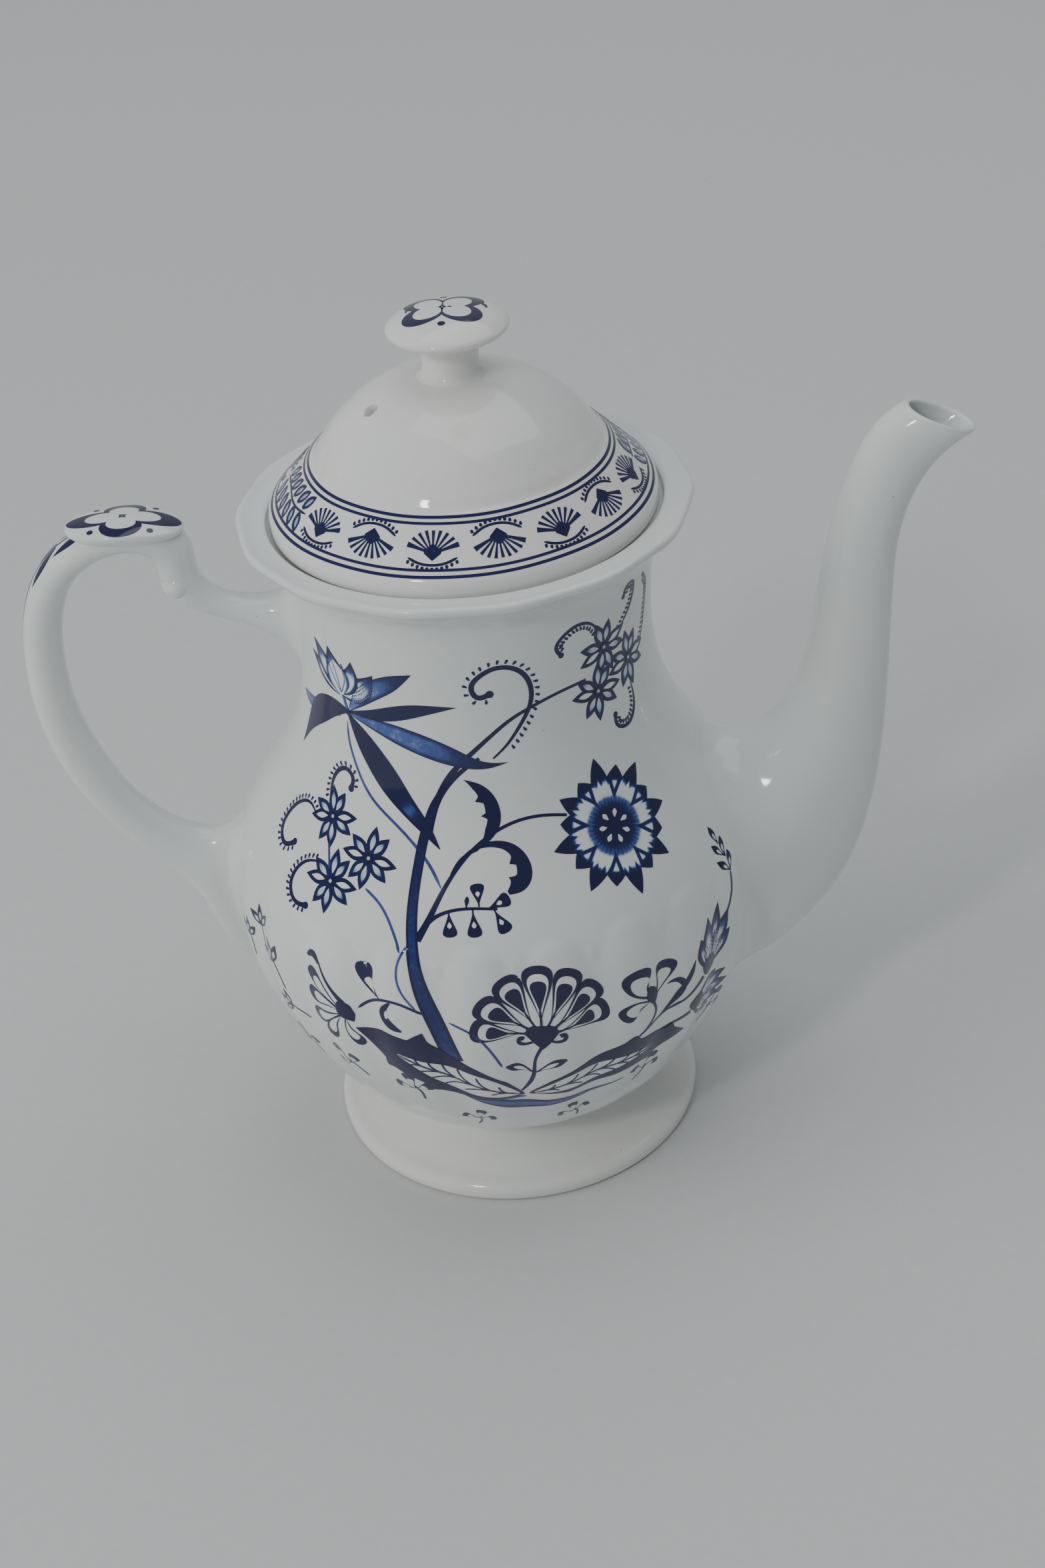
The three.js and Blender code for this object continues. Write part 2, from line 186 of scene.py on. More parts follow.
def squared(angle, power):
    """Radius of a circle squared off by a power n: (|cos|^n + |sin|^n)^(-1/n)."""
    return (np.abs(np.cos(angle)) ** power + np.abs(np.sin(angle)) ** power) ** (-1 / power)


def ball(rows, margin):
    """A ball of radius one, as rings from near its top to near its bottom."""
    polar, around = np.linspace(margin, np.pi - margin, rows)[:, None], circle(48)[None, :]
    return np.stack([np.sin(polar) * np.cos(around), np.sin(polar) * np.sin(around),
                     np.cos(polar) + 0 * around], axis=-1)


def turned(profile, around):
    """Rings of a profile of (radius, height) rows turned about the axis."""
    angle = circle(around)
    profile = np.asarray(profile, float)
    ring = np.stack([np.cos(angle), np.sin(angle)], axis=-1)
    xy = profile[:, None, :1] * ring[None]
    z = np.broadcast_to(profile[:, None, 1:], (len(profile), around, 1))
    return np.concatenate([xy, z], axis=-1)


def eased_profile(corners, count_per_mm=1.2):
    """A profile with its straight runs sampled, and each corner held by a point close on each side."""
    corners = np.asarray(corners, float)
    rows = [corners[:1]]
    for a, b in zip(corners[:-1], corners[1:]):
        length = np.linalg.norm(b - a)
        inner = np.linspace(0, 1, max(int(length * count_per_mm), 1) + 1)[1:-1]
        near = min(0.12 / max(length, 0.3), 0.3)
        at = np.concatenate([[near], inner, [1 - near, 1.0]])
        rows.append(a + (b - a) * np.unique(at)[:, None])
    return np.vstack(rows)


# ---- the body's wall -------------------------------------------------------------------------------------
FLUTES = 22
FIRST_FLUTE = math.radians(84.8)
FLUTE_TOP, FLUTE_ARCH = 102, 10  # how far up the wall their arches reach, and how much lower they spring
FLUTE_RISE, FLUTE_DEPTH = 0.7, 1.25  # a flute's middle stands out, and the groove beside it lies deeper
RIM_WAVES, RIM_WAVE = 14, 0.32
SWAG_DROP, SWAG_SWAY, SWAG_RISE, SWAG_WIDTH = 9.5, 2.2, 0.3, 1.3
below, above = BELLY_R - WAIST_R, BELLY_R - NECK_R
bowl, shoulder, flare = BELLY_Z - BASE_Z, NECK_Z - BELLY_Z, RIM_Z - NECK_Z
WALL_LINE = spaced([
    (WAIST_R, BASE_Z),
    (WAIST_R + 0.2 * below, BASE_Z + 0.07 * bowl),
    (WAIST_R + 0.45 * below, BASE_Z + 0.18 * bowl),
    (WAIST_R + 0.66 * below, BASE_Z + 0.36 * bowl),
    (WAIST_R + 0.87 * below, BASE_Z + 0.61 * bowl),
    (WAIST_R + 0.98 * below, BASE_Z + 0.84 * bowl),
    (BELLY_R, BELLY_Z),
    (NECK_R + 0.95 * above, BELLY_Z + 0.16 * shoulder),
    (NECK_R + 0.75 * above, BELLY_Z + 0.32 * shoulder),
    (NECK_R + 0.34 * above, BELLY_Z + 0.54 * shoulder),
    (NECK_R + 0.09 * above, BELLY_Z + 0.76 * shoulder),
    (NECK_R, NECK_Z),
    (NECK_R + 0.07 * (RIM_R - NECK_R), NECK_Z + 0.45 * flare),
    (NECK_R + 0.33 * (RIM_R - NECK_R), NECK_Z + 0.77 * flare),
    (RIM_R - 0.6, RIM_Z - 2.4),
], 400)
WALL_RUN = np.concatenate([[0], np.cumsum(np.linalg.norm(np.diff(WALL_LINE, axis=0), axis=1))])
WALL_TOP = WALL_RUN[-1]
WALL_FACE = unit(np.gradient(WALL_LINE, axis=0))[:, ::-1] * [1, -1]


def rim_wave(theta):
    """The lip's soft scallops, in millimetres."""
    return RIM_WAVE * np.cos(RIM_WAVES * theta)


def wall_relief(theta, run):
    """How far the wall stands out. The bowl has upright flutes that end in round arches above the belly and
    fade towards the foot, and scallops grow up the flare, with a low moulded swag under the lip."""
    lobe = ((theta + FIRST_FLUTE) * FLUTES / TURN) % 1 * 2 - 1
    arch = FLUTE_TOP - FLUTE_ARCH * (1 - np.sqrt(np.clip(1 - 0.95 * lobe**2, 0, 1)))
    inside = ease((arch - run) / 2.6) * ease((run - 8) / 75)
    flutes = inside * (FLUTE_RISE - FLUTE_DEPTH * ((1 - np.cos(np.pi * lobe)) / 2) ** 1.5)
    scallops = rim_wave(theta) * ease((run - WALL_TOP + 15) / 15)
    swag_height = WALL_TOP - SWAG_DROP + SWAG_SWAY * np.cos(RIM_WAVES / 2 * theta)
    swag = SWAG_RISE * np.exp(-(((run - swag_height) / SWAG_WIDTH) ** 2))
    return flutes + scallops + swag


def wall_point(theta, run):
    """The body's outer surface: its turned profile, moved out square to the wall by the relief."""
    r = np.interp(run, WALL_RUN, WALL_LINE[:, 0])
    z = np.interp(run, WALL_RUN, WALL_LINE[:, 1])
    out = wall_relief(theta, run)
    r = r + out * np.interp(run, WALL_RUN, WALL_FACE[:, 0])
    z = z + out * np.interp(run, WALL_RUN, WALL_FACE[:, 1])
    return np.stack([r * np.cos(theta), r * np.sin(theta), z], axis=-1)


def wall_radius(theta, z):
    """The body's outer radius at a height."""
    run = np.interp(z, WALL_LINE[:, 1], WALL_RUN)
    r = np.interp(z, WALL_LINE[:, 1], WALL_LINE[:, 0])
    return r + wall_relief(theta, run)


# ---- swept pieces luted to the body: spout and handle ----------------------------------------------------
SPOUT_STATIONS = [  # upper edge x, z, then lower edge x, z, then half width
    (50, 112, 50, 44, 23), (66, 115, 70, 47.5, 22), (75, 120.5, 91, 67.5, 18.5),
    (81.8, 131, 101.2, 91, 14.5),
    (85.8, 144, 105.3, 117, 11.5), (88.8, 163, 107, 150, 9.3), (92.8, 181, 108.9, 174, 8.4),
    (98.3, 196, 114.4, 189, 7.8), (103.8, 204.3, 120.8, 196.6, 7.3), (109.5, 208.4, 127.2, 201.2, 7.0),
]
HANDLE_STATIONS = [  # finger edge x, z, then outer edge x, z, then half width
    (-40, 146, -40, 169, 7.5), (-50.5, 154, -49.5, 167, 6.2), (-57.5, 158.6, -57, 166.4, 5.2),
    (-66, 162.2, -63.8, 167.8, 5), (-75.6, 167, -68.2, 171.6, 5.6), (-79.4, 174, -69.6, 177, 6),
    (-80.2, 179.4, -70.6, 183.6, 6.4), (-84.2, 182, -77, 189.4, 7), (-89.5, 182, -89, 190.4, 7.4),
    (-97, 178.4, -100.6, 186.6, 7), (-103.2, 171.4, -109.8, 178.6, 6.5), (-107, 160.4, -116, 165.6, 6.2),
    (-108.1, 147.5, -118.4, 148, 6), (-106.8, 133.5, -117.2, 130, 6), (-101.8, 118.4, -111.6, 112.4, 5.8),
    (-94, 105, -102, 97, 5.6), (-84.6, 97.4, -90, 83.4, 6), (-76, 95, -82, 71, 7),
    (-67, 97, -75, 54, 6.5), (-58, 95, -57, 42, 5),
]


def limb(stations, place, angle, square, thinner=0.0):
    """A limb's surface. Each section spans from one edge line to the other in the upright plane, and its half
    width sideways; the section is a circle squared off by a power."""
    edges = curve(stations, place, even=True)
    first, second, half = edges[:, 0:2], edges[:, 2:4], edges[:, 4]
    middle, reach = (first + second) / 2, (first - second) / 2
    length = np.linalg.norm(reach, axis=1)
    thinner = np.broadcast_to(thinner, half.shape)
    reach = reach * ((length - thinner) / length)[:, None]
    half = half - thinner
    c, s = np.cos(angle) * squared(angle, square), np.sin(angle) * squared(angle, square)
    x = middle[:, None, 0] + reach[:, None, 0] * c
    z = middle[:, None, 1] + reach[:, None, 1] * c
    return np.stack([x, half[:, None] * s, z], axis=-1)


def outside_body(points):
    """How far points stand outside the body's wall, less than 0 inside it."""
    theta = np.arctan2(points[..., 1], points[..., 0])
    return np.hypot(points[..., 0], points[..., 1]) - wall_radius(theta, points[..., 2])


def line_runs(grid):
    """The distance along each line of the grid."""
    steps = np.linalg.norm(np.diff(grid, axis=0), axis=2)
    return np.concatenate([np.zeros((1, grid.shape[1])), np.cumsum(steps, axis=0)])


def along_lines(grid, start, stop, count):
    """Each line of the grid, cut between two distances along it and spaced evenly."""
    run = line_runs(grid)
    share = np.linspace(0, 1, count)[:, None]
    want = start * (1 - share) + stop * share
    lines = [np.stack([np.interp(want[:, j], run[:, j], grid[:, j, k]) for k in range(3)], axis=-1)
             for j in range(grid.shape[1])]
    return np.stack(lines, axis=1)


def crossing(grid, from_start):
    """For each line of the grid, the distance along it where it leaves the body."""
    run = line_runs(grid)
    gap = outside_body(grid)
    half = len(grid) // 2
    if from_start:
        inside = gap[:half] < 0
        last = np.where(inside.any(axis=0), half - 1 - np.argmax(inside[::-1], axis=0), 0)
    else:
        inside = gap[half:] < 0
        last = half + np.argmax(inside, axis=0) - 1
    j = np.arange(grid.shape[1])
    g0, g1 = gap[last, j], gap[last + 1, j]
    share = np.clip(g0 / np.where(g0 == g1, 1, g0 - g1), 0, 1)
    return run[last, j] * (1 - share) + run[last + 1, j] * share


def wall_facing(points):
    """The direction square to the body's wall beside each point, by the slope half a millimetre each way."""
    lift = 0.5
    theta, z = np.arctan2(points[:, 1], points[:, 0]), points[:, 2]
    slope = (wall_radius(theta, z + lift) - wall_radius(theta, z - lift)) / (2 * lift)
    return unit(np.stack([np.cos(theta), np.sin(theta), -slope], axis=-1))


SKIRT_SUNK = 0.03  # a limb's soft root starts just under the wall


def fillet(root, tube, skirt, count):
    """A soft root: from a ring laid on the body, one skirt's width out from where the limb meets it, each
    line bends on a quadratic arc, by way of the meeting point, up to the limb's own line."""
    out = root - root.mean(axis=0)
    face = wall_facing(root)
    out = unit(out - face * (out * face).sum(axis=-1, keepdims=True))
    skirt_ring = root + out * skirt
    theta, z = np.arctan2(skirt_ring[:, 1], skirt_ring[:, 0]), skirt_ring[:, 2]
    r = wall_radius(theta, z) - SKIRT_SUNK
    skirt_ring = np.stack([r * np.cos(theta), r * np.sin(theta), z], axis=-1)
    face = wall_facing(skirt_ring)
    inwards = root - skirt_ring
    root = skirt_ring + inwards - face * (inwards * face).sum(axis=-1, keepdims=True)
    u = np.linspace(0, 1, count)[:, None, None]
    return (1 - u) ** 2 * skirt_ring[None] + 2 * u * (1 - u) * root[None] + u**2 * tube[None]


# ---- finishes --------------------------------------------------------------------------------------------
def node_group(name, inputs, outputs):
    """An empty group with its named inputs and outputs."""
    group = bpy.data.node_groups.new(name, "ShaderNodeTree")
    for label, kind, value in inputs:
        socket = group.interface.new_socket(label, in_out="INPUT", socket_type=kind)
        socket.default_value = value
    for label, kind in outputs:
        group.interface.new_socket(label, in_out="OUTPUT", socket_type=kind)
    return group, group.nodes.new("NodeGroupInput"), group.nodes.new("NodeGroupOutput")


def noise(nodes, links, vector, scale, detail, roughness=0.5):
    """Cloudy unevenness over a vector."""
    made = nodes.new("ShaderNodeTexNoise")
    made.inputs["Scale"].default_value = scale
    made.inputs["Detail"].default_value = detail
    made.inputs["Roughness"].default_value = roughness
    links.new(vector, made.inputs["Vector"])
    return made.outputs["Fac"]


def ranged(nodes, links, value, from_lo, from_hi, to_lo, to_hi):
    """A value carried from one range to another, and held at that range's ends."""
    made = nodes.new("ShaderNodeMapRange")
    for label, number in (("From Min", from_lo), ("From Max", from_hi), ("To Min", to_lo),
                          ("To Max", to_hi)):
        made.inputs[label].default_value = number
    links.new(value, made.inputs["Value"])
    return made.outputs["Result"]


def combined(nodes, links, operation, *sources, clamp=False):
    """The sum, product or other combination of its sources."""
    made = nodes.new("ShaderNodeMath")
    made.operation, made.use_clamp = operation, clamp
    for socket, source in zip(made.inputs, sources):
        links.new(source, socket)
    return made.outputs["Value"]


MIX_A, MIX_B, MIX_RESULT = 6, 7, 2  # a mix node's colour sockets


def mixed(nodes, links, factor, first, second):
    """One colour turning into another as the factor goes from 0 to 1."""
    made = nodes.new("ShaderNodeMix")
    made.data_type = "RGBA"
    links.new(factor, made.inputs["Factor"])
    for socket, source in ((made.inputs[MIX_A], first), (made.inputs[MIX_B], second)):
        if isinstance(source, tuple):
            socket.default_value = source
        else:
            links.new(source, socket)
    return made.outputs[MIX_RESULT]


WHITE, THIN = (0.77, 0.785, 0.765), (0.66, 0.71, 0.73)
LID_WHITE, KNOB_WHITE, FOOT_WHITE = (0.81, 0.80, 0.755), (0.81, 0.80, 0.76), (0.80, 0.795, 0.74)
HIDDEN_WHITE = (0.77, 0.755, 0.69)  # the collar's and the lug's
TEA, IRON_SPECK = (0.52, 0.42, 0.27, 1), (0.2, 0.16, 0.11, 1)
DARK_CLAY, PALE_CLAY = (0.62, 0.56, 0.46, 1), (0.74, 0.69, 0.6, 1)
COBALT_TONES = [  # place, colour: from bare glaze to a pale wash, clear blue, navy and near black
    (0.0, (1, 1, 1, 1)), (0.22, (0.46, 0.57, 0.74, 1)), (0.5, (0.060, 0.110, 0.33, 1)),
    (0.78, (0.013, 0.021, 0.125, 1)), (1.0, (0.009, 0.011, 0.058, 1)),
]


def glaze_group():
    """The fired glaze: a warm white that clouds slightly, thins to a cooler grey where it ran, with fine dark
    specks and faint tea-coloured ageing, over a surface with a very soft ripple."""
    group, into, out = node_group("fired_glaze", [
        ("Vector", "NodeSocketVector", (0, 0, 0)), ("White", "NodeSocketColor", (0.8, 0.8, 0.77, 1)),
        ("Thin", "NodeSocketColor", (0.7, 0.73, 0.73, 1)), ("Age", "NodeSocketFloat", 0.1),
    ], [("Color", "NodeSocketColor"), ("Roughness", "NodeSocketFloat"), ("Height", "NodeSocketFloat")])
    nodes, links = group.nodes, group.links
    vector = into.outputs["Vector"]
    cloud = ranged(nodes, links, noise(nodes, links, vector, 22, 4), 0.35, 0.7, 0, 0.55)
    colour = mixed(nodes, links, cloud, into.outputs["White"], into.outputs["Thin"])
    stain = ranged(nodes, links, noise(nodes, links, vector, 55, 6, 0.65), 0.6, 0.8, 0, 1)
    aged = combined(nodes, links, "MULTIPLY", stain, into.outputs["Age"])
    colour = mixed(nodes, links, aged, colour, TEA)
    specks = nodes.new("ShaderNodeTexVoronoi")
    specks.inputs["Scale"].default_value = 210
    specks.inputs["Randomness"].default_value = 1
    links.new(vector, specks.inputs["Vector"])
    dots = ranged(nodes, links, specks.outputs["Distance"], 0.03, 0.07, 0.45, 0)
    rare = ranged(nodes, links, noise(nodes, links, vector, 90, 1), 0.6, 0.66, 0, 1)
    colour = mixed(nodes, links, combined(nodes, links, "MULTIPLY", dots, rare), colour, IRON_SPECK)
    links.new(colour, out.inputs["Color"])
    links.new(ranged(nodes, links, noise(nodes, links, vector, 160, 3), 0.3, 0.7, 0.05, 0.13),
              out.inputs["Roughness"])
    links.new(noise(nodes, links, vector, 70, 2), out.inputs["Height"])
    return group


GLAZE = glaze_group()


def glazed(name, white, thin, age, shift):
    """A glossy glazed material: the fired glaze on the body, with a clear coat's shine over it."""
    material = bpy.data.materials.new(name)
    material.use_nodes = True
    nodes, links = material.node_tree.nodes, material.node_tree.links
    shader = nodes["Principled BSDF"]
    place = nodes.new("ShaderNodeTexCoord")
    mapping = nodes.new("ShaderNodeMapping")
    mapping.inputs["Location"].default_value = shift
    links.new(place.outputs["Object"], mapping.inputs["Vector"])
    glaze = nodes.new("ShaderNodeGroup")
    glaze.node_tree = GLAZE
    links.new(mapping.outputs["Vector"], glaze.inputs["Vector"])
    glaze.inputs["White"].default_value = (*white, 1)
    glaze.inputs["Thin"].default_value = (*thin, 1)
    glaze.inputs["Age"].default_value = age
    bump = nodes.new("ShaderNodeBump")
    bump.inputs["Strength"].default_value = 0.12
    bump.inputs["Distance"].default_value = 0.0006
    links.new(glaze.outputs["Height"], bump.inputs["Height"])
    links.new(glaze.outputs["Color"], shader.inputs["Base Color"])
    links.new(glaze.outputs["Roughness"], shader.inputs["Roughness"])
    links.new(bump.outputs["Normal"], shader.inputs["Normal"])
    shader.inputs["IOR"].default_value = 1.5
    shader.inputs["Coat Weight"].default_value = 0.12
    shader.inputs["Coat Roughness"].default_value = 0.03
    return material, nodes, links, shader, glaze


def plain_glaze(name, shift, age=0.1, white=WHITE):
    """A glaze with nothing over it."""
    return glazed(name, white, THIN, age, shift)[0]


def foot_finish():
    """The foot's glaze stops at the standing ring, which is wiped bare and shows the fired clay."""
    material, nodes, links, shader, glaze = glazed("foot_glaze", FOOT_WHITE, THIN, 0.25, (0.3, 0.1, 0))
    place = nodes.new("ShaderNodeTexCoord")
    split = nodes.new("ShaderNodeSeparateXYZ")
    links.new(place.outputs["Object"], split.inputs["Vector"])
    bare = ranged(nodes, links, split.outputs["Z"], 0.0002, 0.0008, 1, 0)
    grit = noise(nodes, links, place.outputs["Object"], 900, 3)
    clay = mixed(nodes, links, grit, DARK_CLAY, PALE_CLAY)
    links.new(mixed(nodes, links, bare, glaze.outputs["Color"], clay), shader.inputs["Base Color"])
    rough = nodes.new("ShaderNodeMix")
    rough.inputs["B"].default_value = 0.75
    links.new(bare, rough.inputs["Factor"])
    links.new(glaze.outputs["Roughness"], rough.inputs["A"])
    links.new(rough.outputs["Result"], shader.inputs["Roughness"])
    return material


def cobalt_finish():
    """Underglaze cobalt. Its tone comes from each point, uneven as brushed colour is: bare glaze at 0, a pale
    wash, a clear mid blue, and navy that is almost black at 1."""
    material, nodes, links, shader, glaze = glazed("cobalt_painting", WHITE, THIN, 0.05, (0.05, 0.02, 0.01))
    tone = nodes.new("ShaderNodeAttribute")
    tone.attribute_name = "tone"
    grain = noise(nodes, links, nodes["Texture Coordinate"].outputs["Object"], 420, 5, 0.7)
    uneven = ranged(nodes, links, grain, 0.3, 0.7, -0.09, 0.09)
    middle = nodes.new("ShaderNodeFloatCurve")
    middle.mapping.curves[0].points[0].location = (0, 0)
    middle.mapping.curves[0].points.new(0.5, 1)
    middle.mapping.curves[0].points[-1].location = (1, 0.1)
    middle.mapping.update()
    links.new(tone.outputs["Fac"], middle.inputs["Value"])
    shaken = combined(nodes, links, "MULTIPLY_ADD", uneven, middle.outputs["Value"], tone.outputs["Fac"])
    ramp = nodes.new("ShaderNodeValToRGB")
    elements = ramp.color_ramp.elements
    elements[0].color, elements[1].color = COBALT_TONES[0][1], COBALT_TONES[-1][1]
    for position, colour in COBALT_TONES[1:-1]:
        elements.new(position).color = colour
    links.new(shaken, ramp.inputs["Fac"])
    strength = combined(nodes, links, "ADD", tone.outputs["Fac"], tone.outputs["Fac"], clamp=True)
    tinted = mixed(nodes, links, strength, glaze.outputs["Color"], ramp.outputs["Color"])
    links.new(tinted, shader.inputs["Base Color"])
    return material


FINISHES = {
    "body_glaze": plain_glaze("body_glaze", (0, 0, 0)),
    "foot_glaze": foot_finish(),
    "spout_glaze": plain_glaze("spout_glaze", (0, 0, 0)),
    "handle_glaze": plain_glaze("handle_glaze", (0, 0, 0)),
    "thumb_glaze": plain_glaze("thumb_glaze", (0, 0, 0)),
    "lid_glaze": plain_glaze("lid_glaze", (0.2, 0, 0.1), 0.3, LID_WHITE),
    "collar_glaze": plain_glaze("collar_glaze", (0.4, 0, 0), 0.35, HIDDEN_WHITE),
    "lug_glaze": plain_glaze("lug_glaze", (0.5, 0, 0), 0.35, HIDDEN_WHITE),
    "knob_glaze": plain_glaze("knob_glaze", (0.6, 0, 0), 0.2, KNOB_WHITE),
}
COBALT = cobalt_finish()


def finish_piece(obj, body, slot, nodes=(), material=None):
    """Gives a piece its material, the slot's finish unless one is given, and the body that it moves with, and
    hides the nodes that it stands for.
    """
    obj.data.materials.append(material or FINISHES[slot])
    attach(obj, body)
    if nodes:
        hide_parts(*nodes)


# ---- the pot ---------------------------------------------------------------------------------------------
AROUND = 396  # points round the body, a whole number to each flute
NOTCH_HALF, NOTCH_DEPTH = 5.9, 3.4  # the lug's notch in the throat


def build_body():
    """The body: its outer wall and lip, the step and ledge that carry the lid, and the inner wall, turned
    about the axis; the throat opens on the handle's side into a notch for the lid's lug."""
    theta = circle(AROUND)
    outer = wall_point(theta[None, :], np.linspace(0, WALL_TOP, 150)[:, None])
    wave = rim_wave(theta)
    ring = np.stack([np.cos(theta), np.sin(theta)], axis=-1)
    notch = NOTCH_DEPTH * ease((NOTCH_HALF / THROAT_R + 0.012 - np.abs(theta - np.pi)) / 0.024)
    ledge_z = LID_Z - LID_FLOAT
    lip = [(RIM_R, RIM_Z - 1.0, 1), (RIM_R - 0.15, RIM_Z - 0.5, 1), (RIM_R - 0.5, RIM_Z - 0.15, 1),
           (RIM_R - 1.1, RIM_Z, 1), (RIM_R - 1.8, RIM_Z - 0.1, 0.9), (RIM_R - 2.6, RIM_Z - 0.32, 0.8),
           (STEP_R + 3, RIM_Z - 0.5, 0.4), (STEP_R + 1, RIM_Z - 0.55, 0.1), (STEP_R + 0.3, RIM_Z - 0.65, 0),
           (STEP_R, RIM_Z - 0.95, 0), (STEP_R, ledge_z + 0.35, 0), (STEP_R - 0.35, ledge_z, 0),
           (THROAT_R + 3.9, ledge_z, 0)]
    rows = [np.concatenate([(r + wave * w)[:, None] * ring, np.full((AROUND, 1), z)], axis=1)
            for r, z, w in lip]
    for inset, z in ((0.25, ledge_z), (0, ledge_z - 0.25), (0, ledge_z - 2), (0, ledge_z - 3.8),
                     (0.3, ledge_z - 4)):
        rows.append(np.concatenate([(THROAT_R + inset + notch)[:, None] * ring, np.full((AROUND, 1), z)],
                                   axis=1))
    inner_line = WALL_LINE - WALL_FACE * WALL
    floor_z = BASE_Z + WALL
    keep = (inner_line[:, 1] < ledge_z - 4.6) & (inner_line[:, 1] > floor_z + 2.4)
    inner_line = inner_line[keep][::-6]
    under = [(inner_line[0, 0] - 1.2, ledge_z - 4), (inner_line[0, 0], ledge_z - 4.4)]
    base = inner_line[-1]
    floor = [(base[0] - 4, floor_z + 0.8), (base[0] - 9, floor_z), (base[0] / 2, floor_z), (2, floor_z)]
    inside = turned(np.vstack([under, inner_line, floor]), AROUND)
    base_rows = turned([(2, BASE_Z), (WAIST_R - 4, BASE_Z)], AROUND)
    grid = np.concatenate([base_rows, outer, np.stack(rows), inside])
    body = shell("body_shell", grid, first=(0, 0, BASE_Z), last=(0, 0, floor_z))
    finish_piece(body, "pot", "body_glaze", ["pot_body"])


def build_foot():
    """The spreading foot: an upright edge, a top that sweeps up to the waist, and a hollow underside."""
    top = foot_hi[2]
    outer = spaced([(FOOT_R, 3.2), (FOOT_R - 1.0, 4.5), (FOOT_R - 3.5, 5.6), (FOOT_R - 9, 8.0),
                    (WAIST_R + 3.2, top - 2.2), (WAIST_R + 0.4, top + 0.1), (WAIST_R - 1.2, top + 2.2)], 40)
    inner = spaced([(WAIST_R - 4.4, top + 1.2), (WAIST_R - 3.6, top - 2), (WAIST_R - 1.2, top - 4.2),
                    (FOOT_R - 12, 4.4), (FOOT_R - 6.4, 1.4), (FOOT_R - 5.2, 0.2)], 26)
    edge = [(FOOT_R - 4.6, 0.0), (FOOT_R - 2.6, 0.0), (FOOT_R - 1.2, 0.02), (FOOT_R - 0.5, 0.22),
            (FOOT_R - 0.1, 0.7), (FOOT_R, 1.3), (FOOT_R + 0.05, 2.2)]
    foot = shell("spreading_foot", turned(np.vstack([edge, outer, inner]), 220), closed_rows=True)
    finish_piece(foot, "pot", "foot_glaze", ["pedestal_foot"])


def spout_lobes(place, angle):
    """Soft facets along the lower half of the spout, fading out as it narrows."""
    fade = 1 - ease((place - 0.25) / 0.4)
    return 1 + 0.022 * fade[:, None] * np.cos(5 * angle)[None, :]


LIMB_SQUARE = 2.15  # how far the spout's and the handle's sections are squared off
SPOUT_WALL_ROOT, SPOUT_WALL_TIP = 3.2, 1.6
MOUTH_ROUND = 0.9  # the walls stop this far short of the mouth, where its rounded edge begins


def build_spout():
    """The spout: a hollow limb with thinning walls, a soft root on the bowl and a rounded lip at its tip."""
    place = np.linspace(0, 1, 420)
    angle = circle(96)
    outer = limb(SPOUT_STATIONS, place, angle, LIMB_SQUARE)
    middle = outer.mean(axis=1, keepdims=True)
    outer = middle + (outer - middle) * spout_lobes(place, angle)[..., None]
    wall = SPOUT_WALL_ROOT + (SPOUT_WALL_TIP - SPOUT_WALL_ROOT) * place
    inner = limb(SPOUT_STATIONS, place, angle, 2.1, wall)
    start, channel_start = crossing(outer, True), crossing(inner, True)
    root = along_lines(outer, start, start, 1)[0]
    tube = along_lines(outer, start + 9, line_runs(outer)[-1] - MOUTH_ROUND, 120)
    channel = along_lines(inner, line_runs(inner)[-1] - MOUTH_ROUND, channel_start + 1, 90)
    ahead = unit(middle[-1] - middle[-3])
    lip = [outer[-1] * (1 - share) + inner[-1] * share + ahead * rise
           for share, rise in ((0.03, -0.35), (0.25, 0.18), (0.5, 0.35), (0.75, 0.18), (0.97, -0.35))]
    grid = np.concatenate([fillet(root, tube[0], 8.0, 14)[:-1], tube, np.stack(lip), channel])
    spout = shell("pouring_spout", grid, closed_rows=True)
    finish_piece(spout, "pot", "spout_glaze", ["spout"])


def build_handle():
    """The scroll handle: a solid limb from the neck, round its curl and bow, down to a tail on the belly."""
    place = np.linspace(0, 1, 900)
    limb_grid = limb(HANDLE_STATIONS, place, circle(64), LIMB_SQUARE)
    start, stop = crossing(limb_grid, True), crossing(limb_grid, False)
    root = along_lines(limb_grid, start, start, 1)[0]
    tail = along_lines(limb_grid, stop, stop, 1)[0]
    body = along_lines(limb_grid, start + 6, stop - 7, 240)
    grid = np.concatenate([fillet(root, body[0], 5.5, 12)[:-1], body,
                           fillet(tail, body[-1], 5, 12)[:-1][::-1]])
    inwards = np.array([3.0, 0, 0])
    handle = shell("scroll_handle", grid, first=grid[0].mean(axis=0) + inwards,
                   last=grid[-1].mean(axis=0) + inwards)
    finish_piece(handle, "pot", "handle_glaze", ["handle"])


def build_scroll_bulb():
    """The small round bulb that ends the scroll, on the bend under the thumb rest."""
    centre, size = np.array([-74.6, 0, 172.6]), np.array([4.8, 6.7, 4.8])
    pole = np.array([0, 0, size[2]])
    bulb = shell("scroll_bulb", centre + ball(26, 0.05) * size, first=centre + pole, last=centre - pole)
    finish_piece(bulb, "pot", "handle_glaze")


THUMB_X = (thumb_lo[0] + thumb_hi[0]) / 2 - AXIS_X
THUMB_HALF = (thumb_hi[0] - thumb_lo[0]) / 2
THUMB_WIDE = (thumb_hi[1] - thumb_lo[1]) / 2


def thumb_top(x, y):
    """The thumb rest's face: arched along the handle, steeper towards the pot, and crowned across."""
    away = (x - THUMB_X) / THUMB_HALF
    drop = np.where(away < 0, 1.7, 3.4) * away**2
    return thumb_hi[2] - drop - 1.5 * (y / THUMB_WIDE) ** 2


